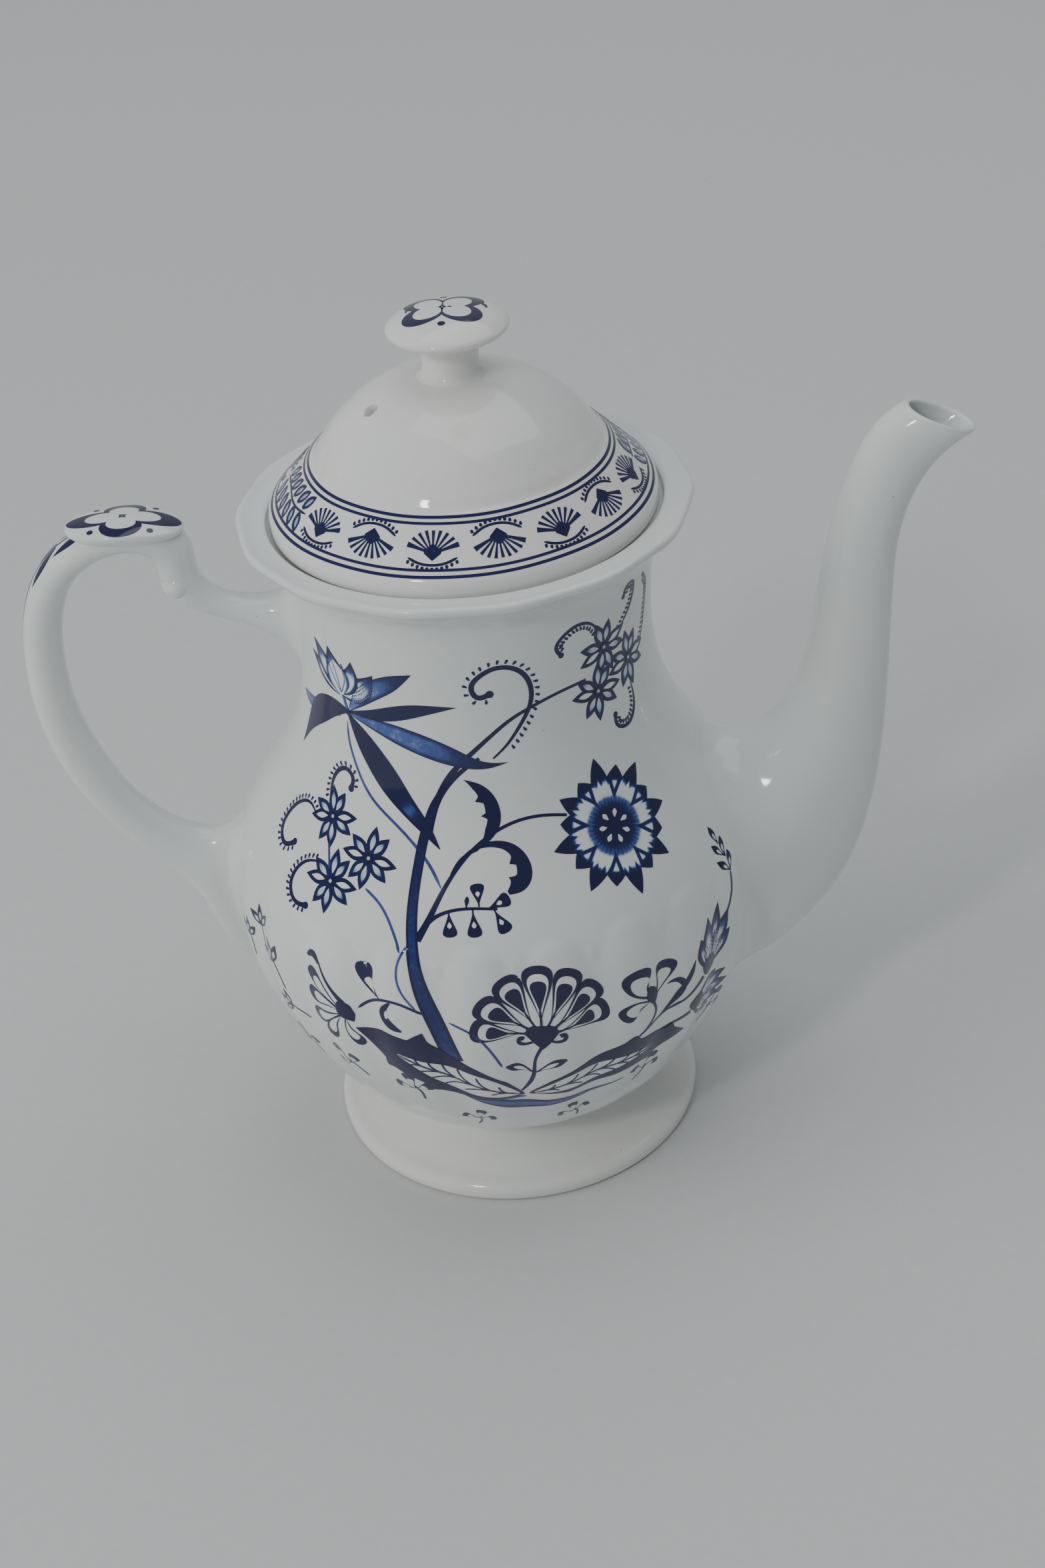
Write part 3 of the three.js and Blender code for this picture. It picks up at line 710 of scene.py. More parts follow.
def build_thumb_rest():
    """The thumb rest: an oval cushion whose sides lean in and down until they are lost in the handle."""
    angle = circle(96)
    radius = squared(angle, 2.3)
    top = [(share, 0) for share in np.linspace(0.04, 0.97, 22)]
    side = [(0.99, 0.25), (1.0, 0.7), (0.985, 1.3), (0.93, 2.2), (0.84, 3.6), (0.72, 5.4), (0.6, 7)]
    rows = []
    for share, drop in top + side:
        x = THUMB_X + THUMB_HALF * share * np.cos(angle) * radius
        y = THUMB_WIDE * share * np.sin(angle) * radius
        rows.append(np.stack([x, y, thumb_top(x, y) - drop], axis=-1))
    grid = np.stack(rows)
    rest = shell("thumb_cushion", grid, first=(THUMB_X, 0, thumb_hi[2]),
                 last=(THUMB_X, 0, grid[-1, :, 2].mean()))
    finish_piece(rest, "pot", "thumb_glaze", ["thumb_rest"])


# ---- the lid ---------------------------------------------------------------------------------------------
BAND_TOP_R = LID_R - 11.7
BAND_TOP_Z = LID_Z + 16.4
DOME_SPAN, DOME_RISE = BAND_TOP_R - 9, SEAT_Z - BAND_TOP_Z
BAND_LINE = np.array([(LID_R - 1.0, LID_Z + 5.6), (BAND_TOP_R, BAND_TOP_Z)])
VENT_R, VENT_TURN = 21.8, math.radians(205)


def dome_profile():
    """The dome's outside, from the top of the band in to the flat under the knob."""
    shares = [(0, 0), (0.03, 0.03), (0.075, 0.12), (0.14, 0.245), (0.206, 0.367), (0.391, 0.622),
              (0.598, 0.816), (0.84, 0.954), (1, 1)]
    return spaced([(BAND_TOP_R - inwards * DOME_SPAN, BAND_TOP_Z + up * DOME_RISE) for inwards,
                   up in shares], 70)


def build_lid():
    """The lid: an upright edge, the sloping painted band, and a dome, hollow inside, with a steam vent."""
    dome = dome_profile()
    band = BAND_LINE[0] + (BAND_LINE[1] - BAND_LINE[0]) * np.linspace(0, 0.985, 16)[:, None]
    edge = [(COLLAR_R - 3, LID_Z + 0.3), (COLLAR_R - 2.8, LID_Z), (LID_R - 2.5, LID_Z),
            (LID_R - 0.9, LID_Z + 0.06), (LID_R - 0.3, LID_Z + 0.3),
            (LID_R - 0.05, LID_Z + 0.8), (LID_R, LID_Z + 1.8), (LID_R, LID_Z + 3.2),
            (LID_R - 0.12, LID_Z + 4.2), (LID_R - 0.5, LID_Z + 5.05)]
    top = np.vstack([edge, band, dome, [(6, SEAT_Z), (2, SEAT_Z)]])
    tangent = unit(np.gradient(dome, axis=0))
    inner = dome - np.stack([tangent[:, 1], -tangent[:, 0]], axis=1) * WALL
    inner = inner[(inner[:, 0] > 5) & (inner[:, 1] < SEAT_Z - WALL)][::-3]
    under = np.vstack([[(2, SEAT_Z - WALL)], inner,
                       [(COLLAR_R - 3, BAND_TOP_Z - 6), (COLLAR_R - 3, LID_Z + 4)]])
    grid = turned(np.vstack([under, top]), 240)
    lid = shell("domed_lid", grid, first=(0, 0, SEAT_Z - WALL), last=(0, 0, SEAT_Z))
    finish_piece(lid, "lid", "lid_glaze", ["lid_dome"])
    drill_vent(lid, dome)


def drill_vent(lid, dome):
    """The steam vent: a small hole with a rounded mouth, cut square through the dome's wall."""
    z = np.interp(-VENT_R, -dome[:, 0], dome[:, 1])
    reach = np.array([(2.6, 2.0), (2.0, 0.35), (1.75, -0.3), (1.65, -1.0), (1.65, -12)])
    grid = turned(reach, 40)
    lean = math.radians(30)
    grid = np.stack([grid[..., 0] * math.cos(lean) + grid[..., 2] * math.sin(lean), grid[..., 1],
                     grid[..., 2] * math.cos(lean) - grid[..., 0] * math.sin(lean)], axis=-1)
    grid = grid @ np.array(Matrix.Rotation(VENT_TURN, 3, "Z")).T
    grid = grid + np.array([VENT_R * math.cos(VENT_TURN), VENT_R * math.sin(VENT_TURN), z])
    drill = shell("vent_drill", grid, first=grid[0].mean(axis=0), last=grid[-1].mean(axis=0))
    cut = lid.modifiers.new("vent", "BOOLEAN")
    cut.operation, cut.solver, cut.object = "DIFFERENCE", "EXACT", drill
    view = bpy.context.evaluated_depsgraph_get()
    holed = bpy.data.meshes.new_from_object(lid.evaluated_get(view))
    lid.modifiers.clear()
    lid.data = holed
    bpy.data.objects.remove(drill)


def build_collar():
    """The collar under the lid, which steadies it in the throat, and the lug that locks it when pouring."""
    low, high = collar_lo[2], LID_Z + 0.4
    profile = eased_profile([(COLLAR_R - 3, high), (COLLAR_R - 3, low + 0.5), (COLLAR_R - 2.5, low),
                             (COLLAR_R - 0.9, low),
                             (COLLAR_R, low + 1), (COLLAR_R, high), (COLLAR_R - 2.9, high)])
    collar = shell("lid_collar_ring", turned(profile, 200), closed_rows=True)
    finish_piece(collar, "lid", "collar_glaze", ["lid_collar"])
    centre, half = (lug_lo + lug_hi) / 2 - [AXIS_X, 0, 0], (lug_hi - lug_lo) / 2
    centre[0] += 0.35
    pole = np.array([0, 0, half[2]])
    half[0] += 0.35
    block = ball(30, 0.06)
    block = block / (np.abs(block) ** 5).sum(axis=-1, keepdims=True) ** 0.2
    lug = shell("lid_lug_block", centre + block * half, first=centre + pole, last=centre - pole)
    finish_piece(lug, "lid", "lug_glaze", ["lid_lug"])


def knob_profile():
    """The knob's outside: its flared foot, waist, and round button up to the middle of its face."""
    return spaced([(9.2, KNOB_Z - 0.5), (7.9, KNOB_Z + 0.3), (7.2, KNOB_Z + 1.5), (7.0, KNOB_Z + 4.0),
                   (7.4, KNOB_Z + 6.4),
                   (8.9, KNOB_Z + 8.7), (KNOB_R - 3.4, KNOB_Z + 9.9), (KNOB_R - 0.7, KNOB_Z + 10.9),
                   (KNOB_R, KNOB_Z + 12.0), (KNOB_R - 0.9, KNOB_Z + 13.2), (KNOB_R - 4.5, KNOB_TOP - 1.25),
                   (KNOB_R - 9, KNOB_TOP - 0.3), (2.0, KNOB_TOP)], 90)


KNOB_LINE = knob_profile()


def knob_top(x, y):
    """Height of the knob's face over a point."""
    upper = KNOB_LINE[55:][::-1]
    return np.interp(np.hypot(x, y), upper[:, 0], upper[:, 1])


def build_knob():
    """The lid's knob: a waisted stem under a thick round button with a barely crowned face."""
    profile = np.vstack([[(3, KNOB_Z - 0.5)], KNOB_LINE])
    knob = shell("button_knob", turned(profile, 160), first=(0, 0, KNOB_Z - 0.5),
                 last=(0, 0, KNOB_TOP + 0.02))
    finish_piece(knob, "lid", "knob_glaze", ["lid_knob"])


# ---- the painting ----------------------------------------------------------------------------------------
FILM = 0.05  # how far the blue stands over the glaze
LAYER = 0.035  # and each layer over the one below it
SUNK = 0.10  # and how far its back lies under the glaze
COLUMN = 0.9  # a wide stroke is cut into columns about this far apart
THINNEST = 0.02  # half the width of a stroke's finest end


class Painting:
    """Thin closed films of colour on one surface, each a grid of points with its own tones."""

    def __init__(self, surface, metric):
        self.surface, self.metric = surface, metric
        self.verts, self.faces, self.tones, self.count = [], [], [], 0

    def lay(self, across, along, tone, layer):
        """Lays one film over a grid of places. The film's face follows the surface; its back, with fewer
        columns, lies just under it."""
        tiny = 0.05
        face = self.surface(across, along)
        normal = unit(np.cross(self.surface(across + tiny, along) - face,
                               self.surface(across, along + tiny) - face))
        high = face + normal * (FILM + LAYER * layer)
        columns = across.shape[1]
        back = np.round(np.linspace(columns - 1, 0, (columns + 3) // 4 + 1)).astype(int)
        low = (face - normal * SUNK)[:, back]
        tone = np.clip(np.broadcast_to(tone, across.shape), 0, 1)
        ring = np.concatenate([high, low], axis=1)
        rows, columns = ring.shape[:2]
        quads = grid_faces(rows, columns, False, True) + self.count
        caps = [list(range(self.count, self.count + columns)),
                list(range(self.count + (rows - 1) * columns, self.count + rows * columns))[::-1]]
        self.verts.append(ring.reshape(-1, 3))
        self.tones.append(np.concatenate([tone, tone[:, back]], axis=1).ravel())
        self.faces += quads.tolist() + caps
        self.count += rows * columns

    def place(self, x, y, at):
        """Flat millimetres about a place, turned and sized, and rolled on as a sheet rolls on a cone."""
        if at is None:
            return x, y
        across, along, turn, size = at
        c, s = math.cos(math.radians(turn)) * size, math.sin(math.radians(turn)) * size
        x, y = x * c - y * s, x * s + y * c
        unit_here = self.metric(np.array(along))
        slope = float(self.metric(np.array(along + 0.5)) - self.metric(np.array(along - 0.5)))
        if abs(slope) < 1e-4:
            return across + x / unit_here, along + y
        reach = unit_here / slope
        depth = reach + y
        sign = np.sign(reach)
        return across + np.arctan2(x, np.abs(depth)) / abs(slope), along + np.hypot(x, depth) * sign - reach

    def ribbon(self, points, left, right=None, tone=1.0, layer=0, at=None, rows=None, across=5):
        """A stroke along a smooth line, with a half width on each side; widths are a number, evenly spaced
        samples joined by a smooth line, or (place, width) corners joined by straight ones."""
        points = np.asarray(points, float)
        scale = np.array([1.0 if at else float(self.metric(np.array(points[:, 1].mean()))), 1.0])
        length = np.linalg.norm(np.diff(points * scale, axis=0), axis=1).sum() * (at[3] if at else 1)
        rows = rows or int(np.clip(length * 1.3, 8, 70))
        u = (1 - np.cos(np.linspace(0, np.pi, rows))) / 2
        if len(points) > 2:
            line = curve(points * scale, u)
        else:
            line = (points[0] + np.diff(points, axis=0)[0] * u[:, None]) * scale
        way = unit(np.gradient(line, axis=0))
        left_w, right_w = half_width(left, u), half_width(left if right is None else right, u)
        widest = max(left_w.max(), right_w.max()) * (at[3] if at else 1)
        v = np.linspace(-1, 1, max(across, 2 * math.ceil(widest / COLUMN) + 1))
        reach = np.where(v[None, :] > 0, left_w[:, None], right_w[:, None]) * v[None, :]
        x = (line[:, 0, None] - way[:, 1, None] * reach) / scale[0]
        y = line[:, 1, None] + way[:, 0, None] * reach
        if callable(tone):
            tone = tone(u[:, None], v[None, :])
        self.lay(*self.place(x, y, at), tone, layer)

    def dot(self, x, y, radius, tone=1.0, layer=0, at=None, long=1.0, lean=0.0):
        """A round or oval spot."""
        c, s = math.cos(math.radians(lean)) * radius * long, math.sin(math.radians(lean)) * radius * long
        unit_here = 1.0 if at else float(self.metric(np.array(y)))
        round_end = [(k, radius * math.sqrt(max(1 - (2 * k - 1) ** 2, 0))) for k in np.linspace(0, 1, 13)]
        self.ribbon([(x - c / unit_here, y - s), (x + c / unit_here, y + s)], round_end, tone=tone,
                    layer=layer, at=at, rows=13)

    def make(self, name, body, slot, turn=0):
        """The painting as a mesh, turned about the axis."""
        spin = np.array(Matrix.Rotation(math.radians(turn), 3, "Z"))
        obj = make_mesh(name, np.concatenate(self.verts) @ spin.T, self.faces)
        tone = obj.data.attributes.new("tone", "FLOAT", "POINT")
        tone.data.foreach_set("value", np.concatenate(self.tones).astype(np.float32))
        finish_piece(obj, body, slot, material=COBALT)


def half_width(width, u):
    """Half widths at the places u, from a number, a formula, even samples or corners."""
    if callable(width):
        return np.maximum(width(u), THINNEST)
    if np.isscalar(width):
        return max(float(width), THINNEST) * np.clip(12 * np.minimum(u, 1 - u) + 0.35, 0, 1)
    width = np.asarray(width, float)
    if width.ndim == 2:
        return np.maximum(np.interp(u, width[:, 0], width[:, 1]), THINNEST)
    return np.maximum(curve(width[:, None], u, even=True)[:, 0], THINNEST)


def tear(size):
    """Half widths of a drop: it widens as a power of the distance along it, and ends round."""
    return lambda u: THINNEST + 1.55 * size * u**1.4 * np.sqrt(np.clip(1 - u**6, 0, 1))


def oval(size):
    """Half widths of an oval."""
    return lambda u: size * np.sqrt(np.clip(1 - (2 * u - 1) ** 2, 0, 1))


def sized(widths, size):
    """Half widths given as shares of a size."""
    return [size * w for w in widths]


def heading(degrees, reach=1.0):
    """A point that far away in a direction."""
    return np.array([math.cos(math.radians(degrees)), math.sin(math.radians(degrees))]) * reach


def inked(core, edge=1.0, thin=0.3, tip=None):
    """Tones of a shape drawn with a dark outline round a lighter wash, darkening towards its tip."""
    def tones(u, v):
        rim = ease((np.abs(v) - 1 + 2 * thin) / thin)
        inner = core + (0 if tip is None else (tip - core) * ease((u - 0.45) / 0.5))
        return inner * (1 - rim) + edge * rim
    return tones


def star_flower(p, across, along, radius, turn=0):
    """Eight slim petals, each dark with a pale heart, about a small ringed centre."""
    at = (across, along, turn, radius / 8)
    for k in range(8):
        way = heading(k * 45 + (7 if k % 2 else -4))
        reach = (8.0, 7.4, 8.0, 7.6)[k % 4]
        dark = 1.0 if k % 4 == 0 else 0.94
        p.ribbon([0.6 * way, reach * way], [0.4, 1.3, 1.7, 1.5, 0.9, 0], tone=dark, at=at, rows=12)
        pale = 0.02 if k % 4 == 0 else 0.26
        p.ribbon([1.9 * way, (reach - 1.9) * way], [0.08, 0.5, 0.72, 0.5, 0.05],
                 tone=lambda u, v, pale=pale: pale + 0.3 * u**3, layer=1, at=at, rows=10)
    p.dot(0, 0, 1.15, layer=2, at=at)
    p.dot(0, 0, 0.45, tone=0.3, layer=3, at=at)


def dotted_curl(p, points, side, width=0.46, spacing=1.3, start=0.05, out=1.25):
    """A thin stem that coils to a knob, with small ticks standing off its outside all the way."""
    ticks = 0.6
    p.ribbon(points, [0.5 * width, width, 1.35 * width, 1.3 * width, 1.5 * width], rows=60)
    unit_here = float(p.metric(np.array(np.mean([q[1] for q in points]))))
    scale = np.array([unit_here, 1.0])
    line = spaced(np.asarray(points, float) * scale, 200)
    p.dot(line[-1][0] / unit_here, line[-1][1], 2.1 * width, layer=1)
    run = np.linalg.norm(np.diff(line, axis=0), axis=1).sum()
    count = max(int(run * (1 - start) / spacing), 3)
    way = unit(np.gradient(line, axis=0))
    for k in range(count):
        i = int((start + (1 - start) * (k + 0.3) / count) * 199)
        normal = np.array([-way[i][1], way[i][0]]) * side
        near = line[i] + normal * (out - ticks) + way[i] * 0.12
        far = line[i] + normal * (out + ticks) - way[i] * 0.3
        p.ribbon([near / scale, far / scale], [0.16, 0.32, 0.38, 0.28], tone=0.95, rows=6, across=3)


def aster(p, across, along):
    """The large aster: eight long pointed petals and eight short ones, each long petal pale-windowed, round a
    centre that shades from navy to a soft blue, with a ring of seven white seeds."""
    tips = [(90, 18.2), (67, 15.4), (45, 17.6), (22, 14.6), (1, 17.0), (-24, 14.4), (-46, 17.2),
            (-68, 14.8), (-90, 18.6), (-113, 15.2), (-136, 17.8), (-158, 15.2), (-181, 17.6),
            (-204, 14.8), (-226, 16.6), (-248, 15.0)]
    count = len(tips)
    corner_turn, corner_reach = [], []
    for k, (turn, reach) in enumerate(tips):
        after = tips[(k + 1) % count][0] - (360 if k == count - 1 else 0)
        corner_turn += [turn, (turn + after) / 2]
        corner_reach += [reach, 12.6]
    corner_turn.append(tips[0][0] - 360)
    corner_reach.append(tips[0][1])
    turn = np.unique(np.concatenate([np.linspace(-270, 90, 257), corner_turn]))
    reach = np.interp(turn, corner_turn[::-1], corner_reach[::-1])
    angle = np.radians(turn)[:, None]
    share = np.linspace(1, 0.001, 46)[None, :]
    r = reach[:, None] * share
    long_petals = np.array([way for way, _ in tips[::2]])
    off = (turn[:, None] - long_petals + 180) % 360 - 180
    nearest = np.argmin(np.abs(off), axis=1)[:, None]
    sideways = np.abs(np.sin(np.radians(np.take_along_axis(off, nearest, axis=1))) * r)
    streak = 0.12 * np.sin(38 * angle) + 0.08 * np.sin(61 * angle + 1)
    tone = 0.98 - 0.50 * ease((r - 4.4 + 3 * streak) / 3.4) - 0.42 * ease((r - 7.2) / 1.2)
    tone = tone + (1.0 - 0.06) * ease((r - 10.4 + 4 * streak) / 2.0)
    window = ease((2.75 - sideways) / 0.35)
    small = ease((r - 8.4) / 0.8) * ease((12.0 - r) / 1.0) * ease((sideways - 3.3) / 0.5)
    between = np.where(r > 6.2, 0.9 - 0.84 * small, 0)
    tone = tone * window + np.maximum(np.where(r > 11.9, 0.98, between), tone * (r < 6.4)) * (1 - window)
    line = np.exp(-(((sideways - 2.9) / 0.34) ** 2)) * ease((r - 5.5) / 1) * ease((14 - r) / 1)
    tone = np.maximum(tone, 0.96 * line)
    x, y = r * np.cos(angle), r * np.sin(angle)
    at = (across, along, 0, 1.0)
    p.lay(*p.place(x, y, at), tone, 1)
    for k in range(7):
        way = heading(118 - 360 / 7 * k)
        p.ribbon([2.3 * way, 4.4 * way], [0.1, 0.42, 0.62, 0.1], tone=0.16, layer=3, at=at, rows=10)


def fan_flower(p, across, along):
    """Seven looped lobes fanned over a pointed calyx, each dark-hooded, with a dark drop in its white."""
    at = (across, along, 0, 1.0)
    for k, reach in enumerate((18.6, 20.4, 21.4, 21.8, 21.4, 20.4, 18.6)):
        way = heading(166 - 25.4 * k)
        layer = 3 * (k % 2)
        drops = ((4.5, reach, 4.1, 1), (5.2, reach - 2.2, 2.75, 0), (7.5, reach - 4.2, 2.1, 1))
        for over, (start, stop, half, tone) in enumerate(drops):
            p.ribbon([start * way, stop * way], tear(half), tone=tone, at=at, rows=30, across=7,
                     layer=layer + over)
        p.ribbon([2 * way, 9 * way], 0.3, layer=layer + 2, at=at, rows=12, across=3)
    calyx = [(0, 0.1), (0.25, 1.9), (0.55, 3.6), (0.72, 4.6), (0.82, 3.7), (0.9, 4.0), (1, 2.2)]
    p.ribbon([(0, -4.6), (0, 3.6)], calyx, layer=6, at=at, rows=30)
    for side in (-1, 1):
        p.ribbon([(side * 1.6, -1.4), (side * 4.2, -2.6), (side * 5.9, -1.9), (side * 5.6, -0.4),
                  (side * 4.6, -0.7)],
                 [0.3, 0.38, 0.5, 0.6, 0.7], layer=2, at=at, rows=24)


def serrated_leaf(p, spine, left, right, hollow):
    """A toothed leaf, cut out in the middle by a pale panel with a vein and slanting side veins."""
    layer = 3
    p.ribbon(spine, left, right, rows=70, across=7, layer=layer)
    spine = np.asarray(spine, float)
    first, last, wide, veins = hollow
    line = curve(spine, np.linspace(first, last, 9))
    p.ribbon(line, sized([0.1, 0.7, 1, 0.95, 0.7, 0.35, 0.05], wide), tone=0.02, layer=layer + 1, rows=44,
             across=7)
    p.ribbon(line, 0.36, tone=0.95, layer=layer + 2, rows=40, across=3)
    scale = np.array([float(p.metric(np.array(spine[:, 1].mean()))), 1])
    way = unit(np.gradient(line * scale, axis=0))
    shares = np.linspace(0.1, 0.8, veins)
    for share, m, h in zip(shares, curve(line, shares), curve(way, shares)):
        spread = wide * np.interp(share, [0, 0.17, 0.35, 0.6, 1], [0.2, 0.8, 1, 0.85, 0.1]) * 0.92
        for side in (-1, 1):
            normal = np.array([-h[1], h[0]]) * side
            far = m * scale + h * spread * 1.5 + normal * spread
            mid = m * scale + h * spread * 0.95 + normal * spread * 0.4
            p.ribbon([m, mid / scale, far / scale], 0.3, tone=0.92, layer=layer + 2, rows=12, across=3)


def berries(p, tips, size):
    """Drop-shaped berries on short stalks from one stem."""
    for root, tip in tips:
        p.ribbon([root, tip], tear(1.15 * size), rows=22)
        p.ribbon([root, tip], [0.22, 0.2, 0.1], rows=10, across=3)
        root, tip = np.array(root, float), np.array(tip, float)
        inside = root + (tip - root) * 0.42
        p.ribbon([inside, root + (tip - root) * 0.66], [0.05, 0.24 * size, 0.36 * size, 0.1], tone=0.08,
                 layer=1, rows=10)


# ---- the body's painting, in degrees from the middle of the front and millimetres up the wall ------------
def body_surface(across, along):
    """The place on the body's wall."""
    return wall_point(np.radians(across - 90), along)


def body_metric(along):
    """Millimetres to a degree round the body."""
    return np.interp(along, WALL_RUN, WALL_LINE[:, 0]) * math.pi / 180


def paint_stems(p):
    """The main two-toned stem and its branches."""
    def two_tone(u, v):
        lit = 0.7 + 0.22 * u + 0.06 * np.sin(9 * u)
        return np.maximum(lit, ease((np.abs(v) - 0.45) / 0.3))
    p.ribbon([(-9.6, 66), (-12.3, 80), (-14.6, 90), (-16.3, 101), (-17, 112), (-16.6, 122), (-15.2, 131),
              (-13, 137)],
             [2.5, 2.3, 2.0, 1.55, 1.5, 1.5, 1.6, 1.4], tone=two_tone, layer=1, rows=90, across=9)
    p.ribbon([(-15, 130), (-13, 137), (-9, 142.5), (-4, 146.5), (1, 149.4)], [1.4, 1.2, 0.8, 0.6, 0.4],
             rows=40)
    p.ribbon([(-12.5, 138), (-8.5, 144.5), (-2, 150.2), (5, 155), (12, 159), (20, 161.6), (29, 163.2),
              (38, 163.6)],
             [0.8, 0.75, 0.6, 0.5, 0.45, 0.42, 0.4], rows=80)
    grey = 0.62
    p.ribbon([(-44, 154), (-43.5, 150), (-40, 143.5), (-33, 136.3), (-25, 131.5), (-18, 126.5), (-13, 121),
              (-10.5, 116.5)],
             0.38, tone=grey, rows=80)
    p.ribbon([(-29.5, 113.5), (-25, 110.5), (-21.5, 105.5), (-19, 99.5)], 0.36, tone=grey, rows=40)
    p.ribbon([(-17.2, 102), (-19.2, 97), (-19.2, 90.5), (-16, 84)], 0.32, tone=0.6, rows=40)
    p.ribbon([(-9.4, 80), (-5.2, 77.5), (-1.5, 71), (0.5, 64)], 0.36, tone=0.65, rows=40)
    p.ribbon([(-15.4, 103), (-13, 108.5), (-10.6, 114.5), (-7, 121), (-2, 126.6), (4, 130.4), (10, 132.3),
              (19, 132.2), (24, 131)],
             [0.9, 0.62, 0.5, 0.45, 0.42, 0.4], rows=90)
    p.ribbon([(-8.2, 119.5), (-5.4, 124), (-0.8, 126.4)], 0.4, rows=24)
    p.ribbon([(-15.2, 104), (-12.5, 108.4), (-8, 111), (-2.5, 111.6), (2.6, 111.2)], [0.8, 0.5, 0.4, 0.35],
             rows=40)


def paint_tulip(p):
    """The half-open bud on the left, and the long leaves that spread below it."""
    at = (-43.8, 157.6, 0, 1.0)
    shaded = inked(0.03, 0.97, 0.26, tip=1.0)
    petals = [((-2, 3.5), (-7, 7), (-12.6, 12.4), 2.4), ((-1.6, 4), (4.4, 6.4), (9.8, 12.8), 3.3),
              ((-2, 4), (-6.6, 10), (-9.8, 17.0), 2.6), ((-1.4, 4), (2.2, 9.4), (3.4, 14.8), 2.7),
              ((-1.6, 4), (-3.4, 11), (-4.4, 16.6), 3.0)]
    for k, (a, b, c, wide) in enumerate(petals):
        p.ribbon([a, b, c], sized([0.2, 0.8, 1.05, 0.95, 0.5, 0], wide), tone=shaded, layer=1 + k // 2,
                 at=at, rows=34, across=9)
    bulb = [(-1.4, 3.6), (-2.4, 8.4), (-3.0, 13.2)]
    p.ribbon(bulb, [0.8, 3.6, 4.3, 3.5, 0.3], tone=inked(0.02, 0.9, 0.14), layer=4, at=at, rows=30,
             across=9)
    for x in (-5.0, -3.0, 0.4):
        p.ribbon([(-1.5, 4.2), (x * 0.8, 8.6), (x - 0.6, 13)], 0.15, tone=0.55, layer=5, at=at, rows=20,
                 across=3)
    p.ribbon([(-43.6, 157), (-45.4, 161.6)], 0.5, tone=0.6, layer=1, rows=10)
    wash = inked(0.47, 1.0, 0.16, tip=0.98)
    p.ribbon([(-47.5, 155.6), (-56, 153.6), (-65, 152.2), (-73, 152.4)], [1.0, 1.7, 1.9, 1.6, 0.5],
             tone=inked(0.5, 0.9, 0.2), rows=30, across=7)
    p.ribbon([(-43.5, 157), (-50, 156.2), (-58, 153), (-64.5, 147), (-69, 139)],
             [0.5, 2.6, 3.6, 3.0, 1.4, 0.1], layer=1, rows=50, across=7)
    p.ribbon([(-43, 157.4), (-36, 163.5), (-28, 167.8), (-17.5, 172.6)], [0.3, 2.2, 2.6, 2.0, 0], tone=wash,
             layer=1, rows=50, across=9)
    p.ribbon([(-43, 157), (-30, 159.2), (-18, 162), (-4.5, 163.6)], [0.3, 1.2, 1.9, 1.9, 1.1, 0], tone=0.98,
             layer=1, rows=50)
    p.ribbon([(-42.5, 156.6), (-32, 155.8), (-20, 153.6), (-6, 149.6), (3, 147.4), (9.5, 147.6)],
             [0.3, 1.5, 2.5, 2.8, 2.4, 1.2, 0], tone=inked(0.5, 1.0, 0.16, tip=1.0), layer=2, rows=80,
             across=9)

    def broad(u, v):
        light = np.exp(-(((u - 0.71) / 0.05) ** 2)) * (np.abs(v) < 0.75)
        return 1.0 - 0.4 * light
    p.ribbon([(-43.4, 156.4), (-37.5, 151), (-30, 144.2), (-21.5, 136.4), (-14.5, 130), (-11.2, 126.2)],
             [0.3, 2.4, 3.2, 3.2, 2.4, 1.5, 0.1], tone=broad, layer=3, rows=90, across=9)
    p.dot(-43.4, 156.8, 0.9, layer=4)


def paint_trios(p):
    """Two clusters of three star flowers with dotted curls, and the big dotted curl over the long leaf."""
    star_flower(p, -45.2, 127.6, 8.2, 20)
    star_flower(p, -30.5, 121, 8.4, 0)
    star_flower(p, -39.5, 112.2, 8.6, 8)
    p.ribbon([(-43.8, 121), (-42.5, 118.4), (-41, 115)], 0.32, tone=0.7, rows=16)
    dotted_curl(p, [(-47.8, 131), (-48.6, 135.4), (-46.8, 139.6), (-43.4, 141), (-40.6, 139.4),
                    (-40.7, 136.6)], 1)
    dotted_curl(p, [(-51.5, 125.6), (-55.5, 127.2), (-60, 125.4), (-62.8, 121), (-62.6, 116.4),
                    (-58.6, 113.8), (-55.4, 116)], -1)
    dotted_curl(p, [(-44.5, 115.4), (-48.4, 114), (-51, 110.4), (-51, 106), (-48, 102.9), (-44.6, 103.4)],
                -1)
    star_flower(p, 46, 170.2, 8.4, 25)
    star_flower(p, 42.5, 158.8, 8.2, 0)
    star_flower(p, 58, 162.4, 8.4, 12)
    dotted_curl(p, [(43.5, 175), (41, 178.6), (36.5, 180.3), (31.2, 179.2), (27.8, 175.8), (29.4, 173.4)],
                1, 0.38, 1.3, out=1.2)
    dotted_curl(p, [(52.5, 171.8), (57, 175), (60.8, 179.6), (60.4, 183.4), (57, 183.8), (55.2, 181)], 1,
                0.34, 1.3, out=1.15)
    dotted_curl(p, [(58, 155.4), (58.4, 151.4), (56.2, 147.2), (51.6, 145.6), (48, 147.4), (48.2, 150)], -1,
                0.38, 1.3, out=1.2)
    dotted_curl(p, [(66, 163), (69.5, 167), (71.5, 173), (71.5, 179), (68, 182)], 1, 0.34, 1.3, out=1.15)
    dotted_curl(p, [(5.2, 149), (9.5, 152), (14.6, 157), (18.6, 163), (18.4, 168.6), (14.8, 172.8),
                    (9.2, 174.2), (3.6, 172.4), (0.6, 168.8), (2.2, 166.2), (6, 166.8)], -1, 0.5, 1.75,
                start=0.1, out=1.6)


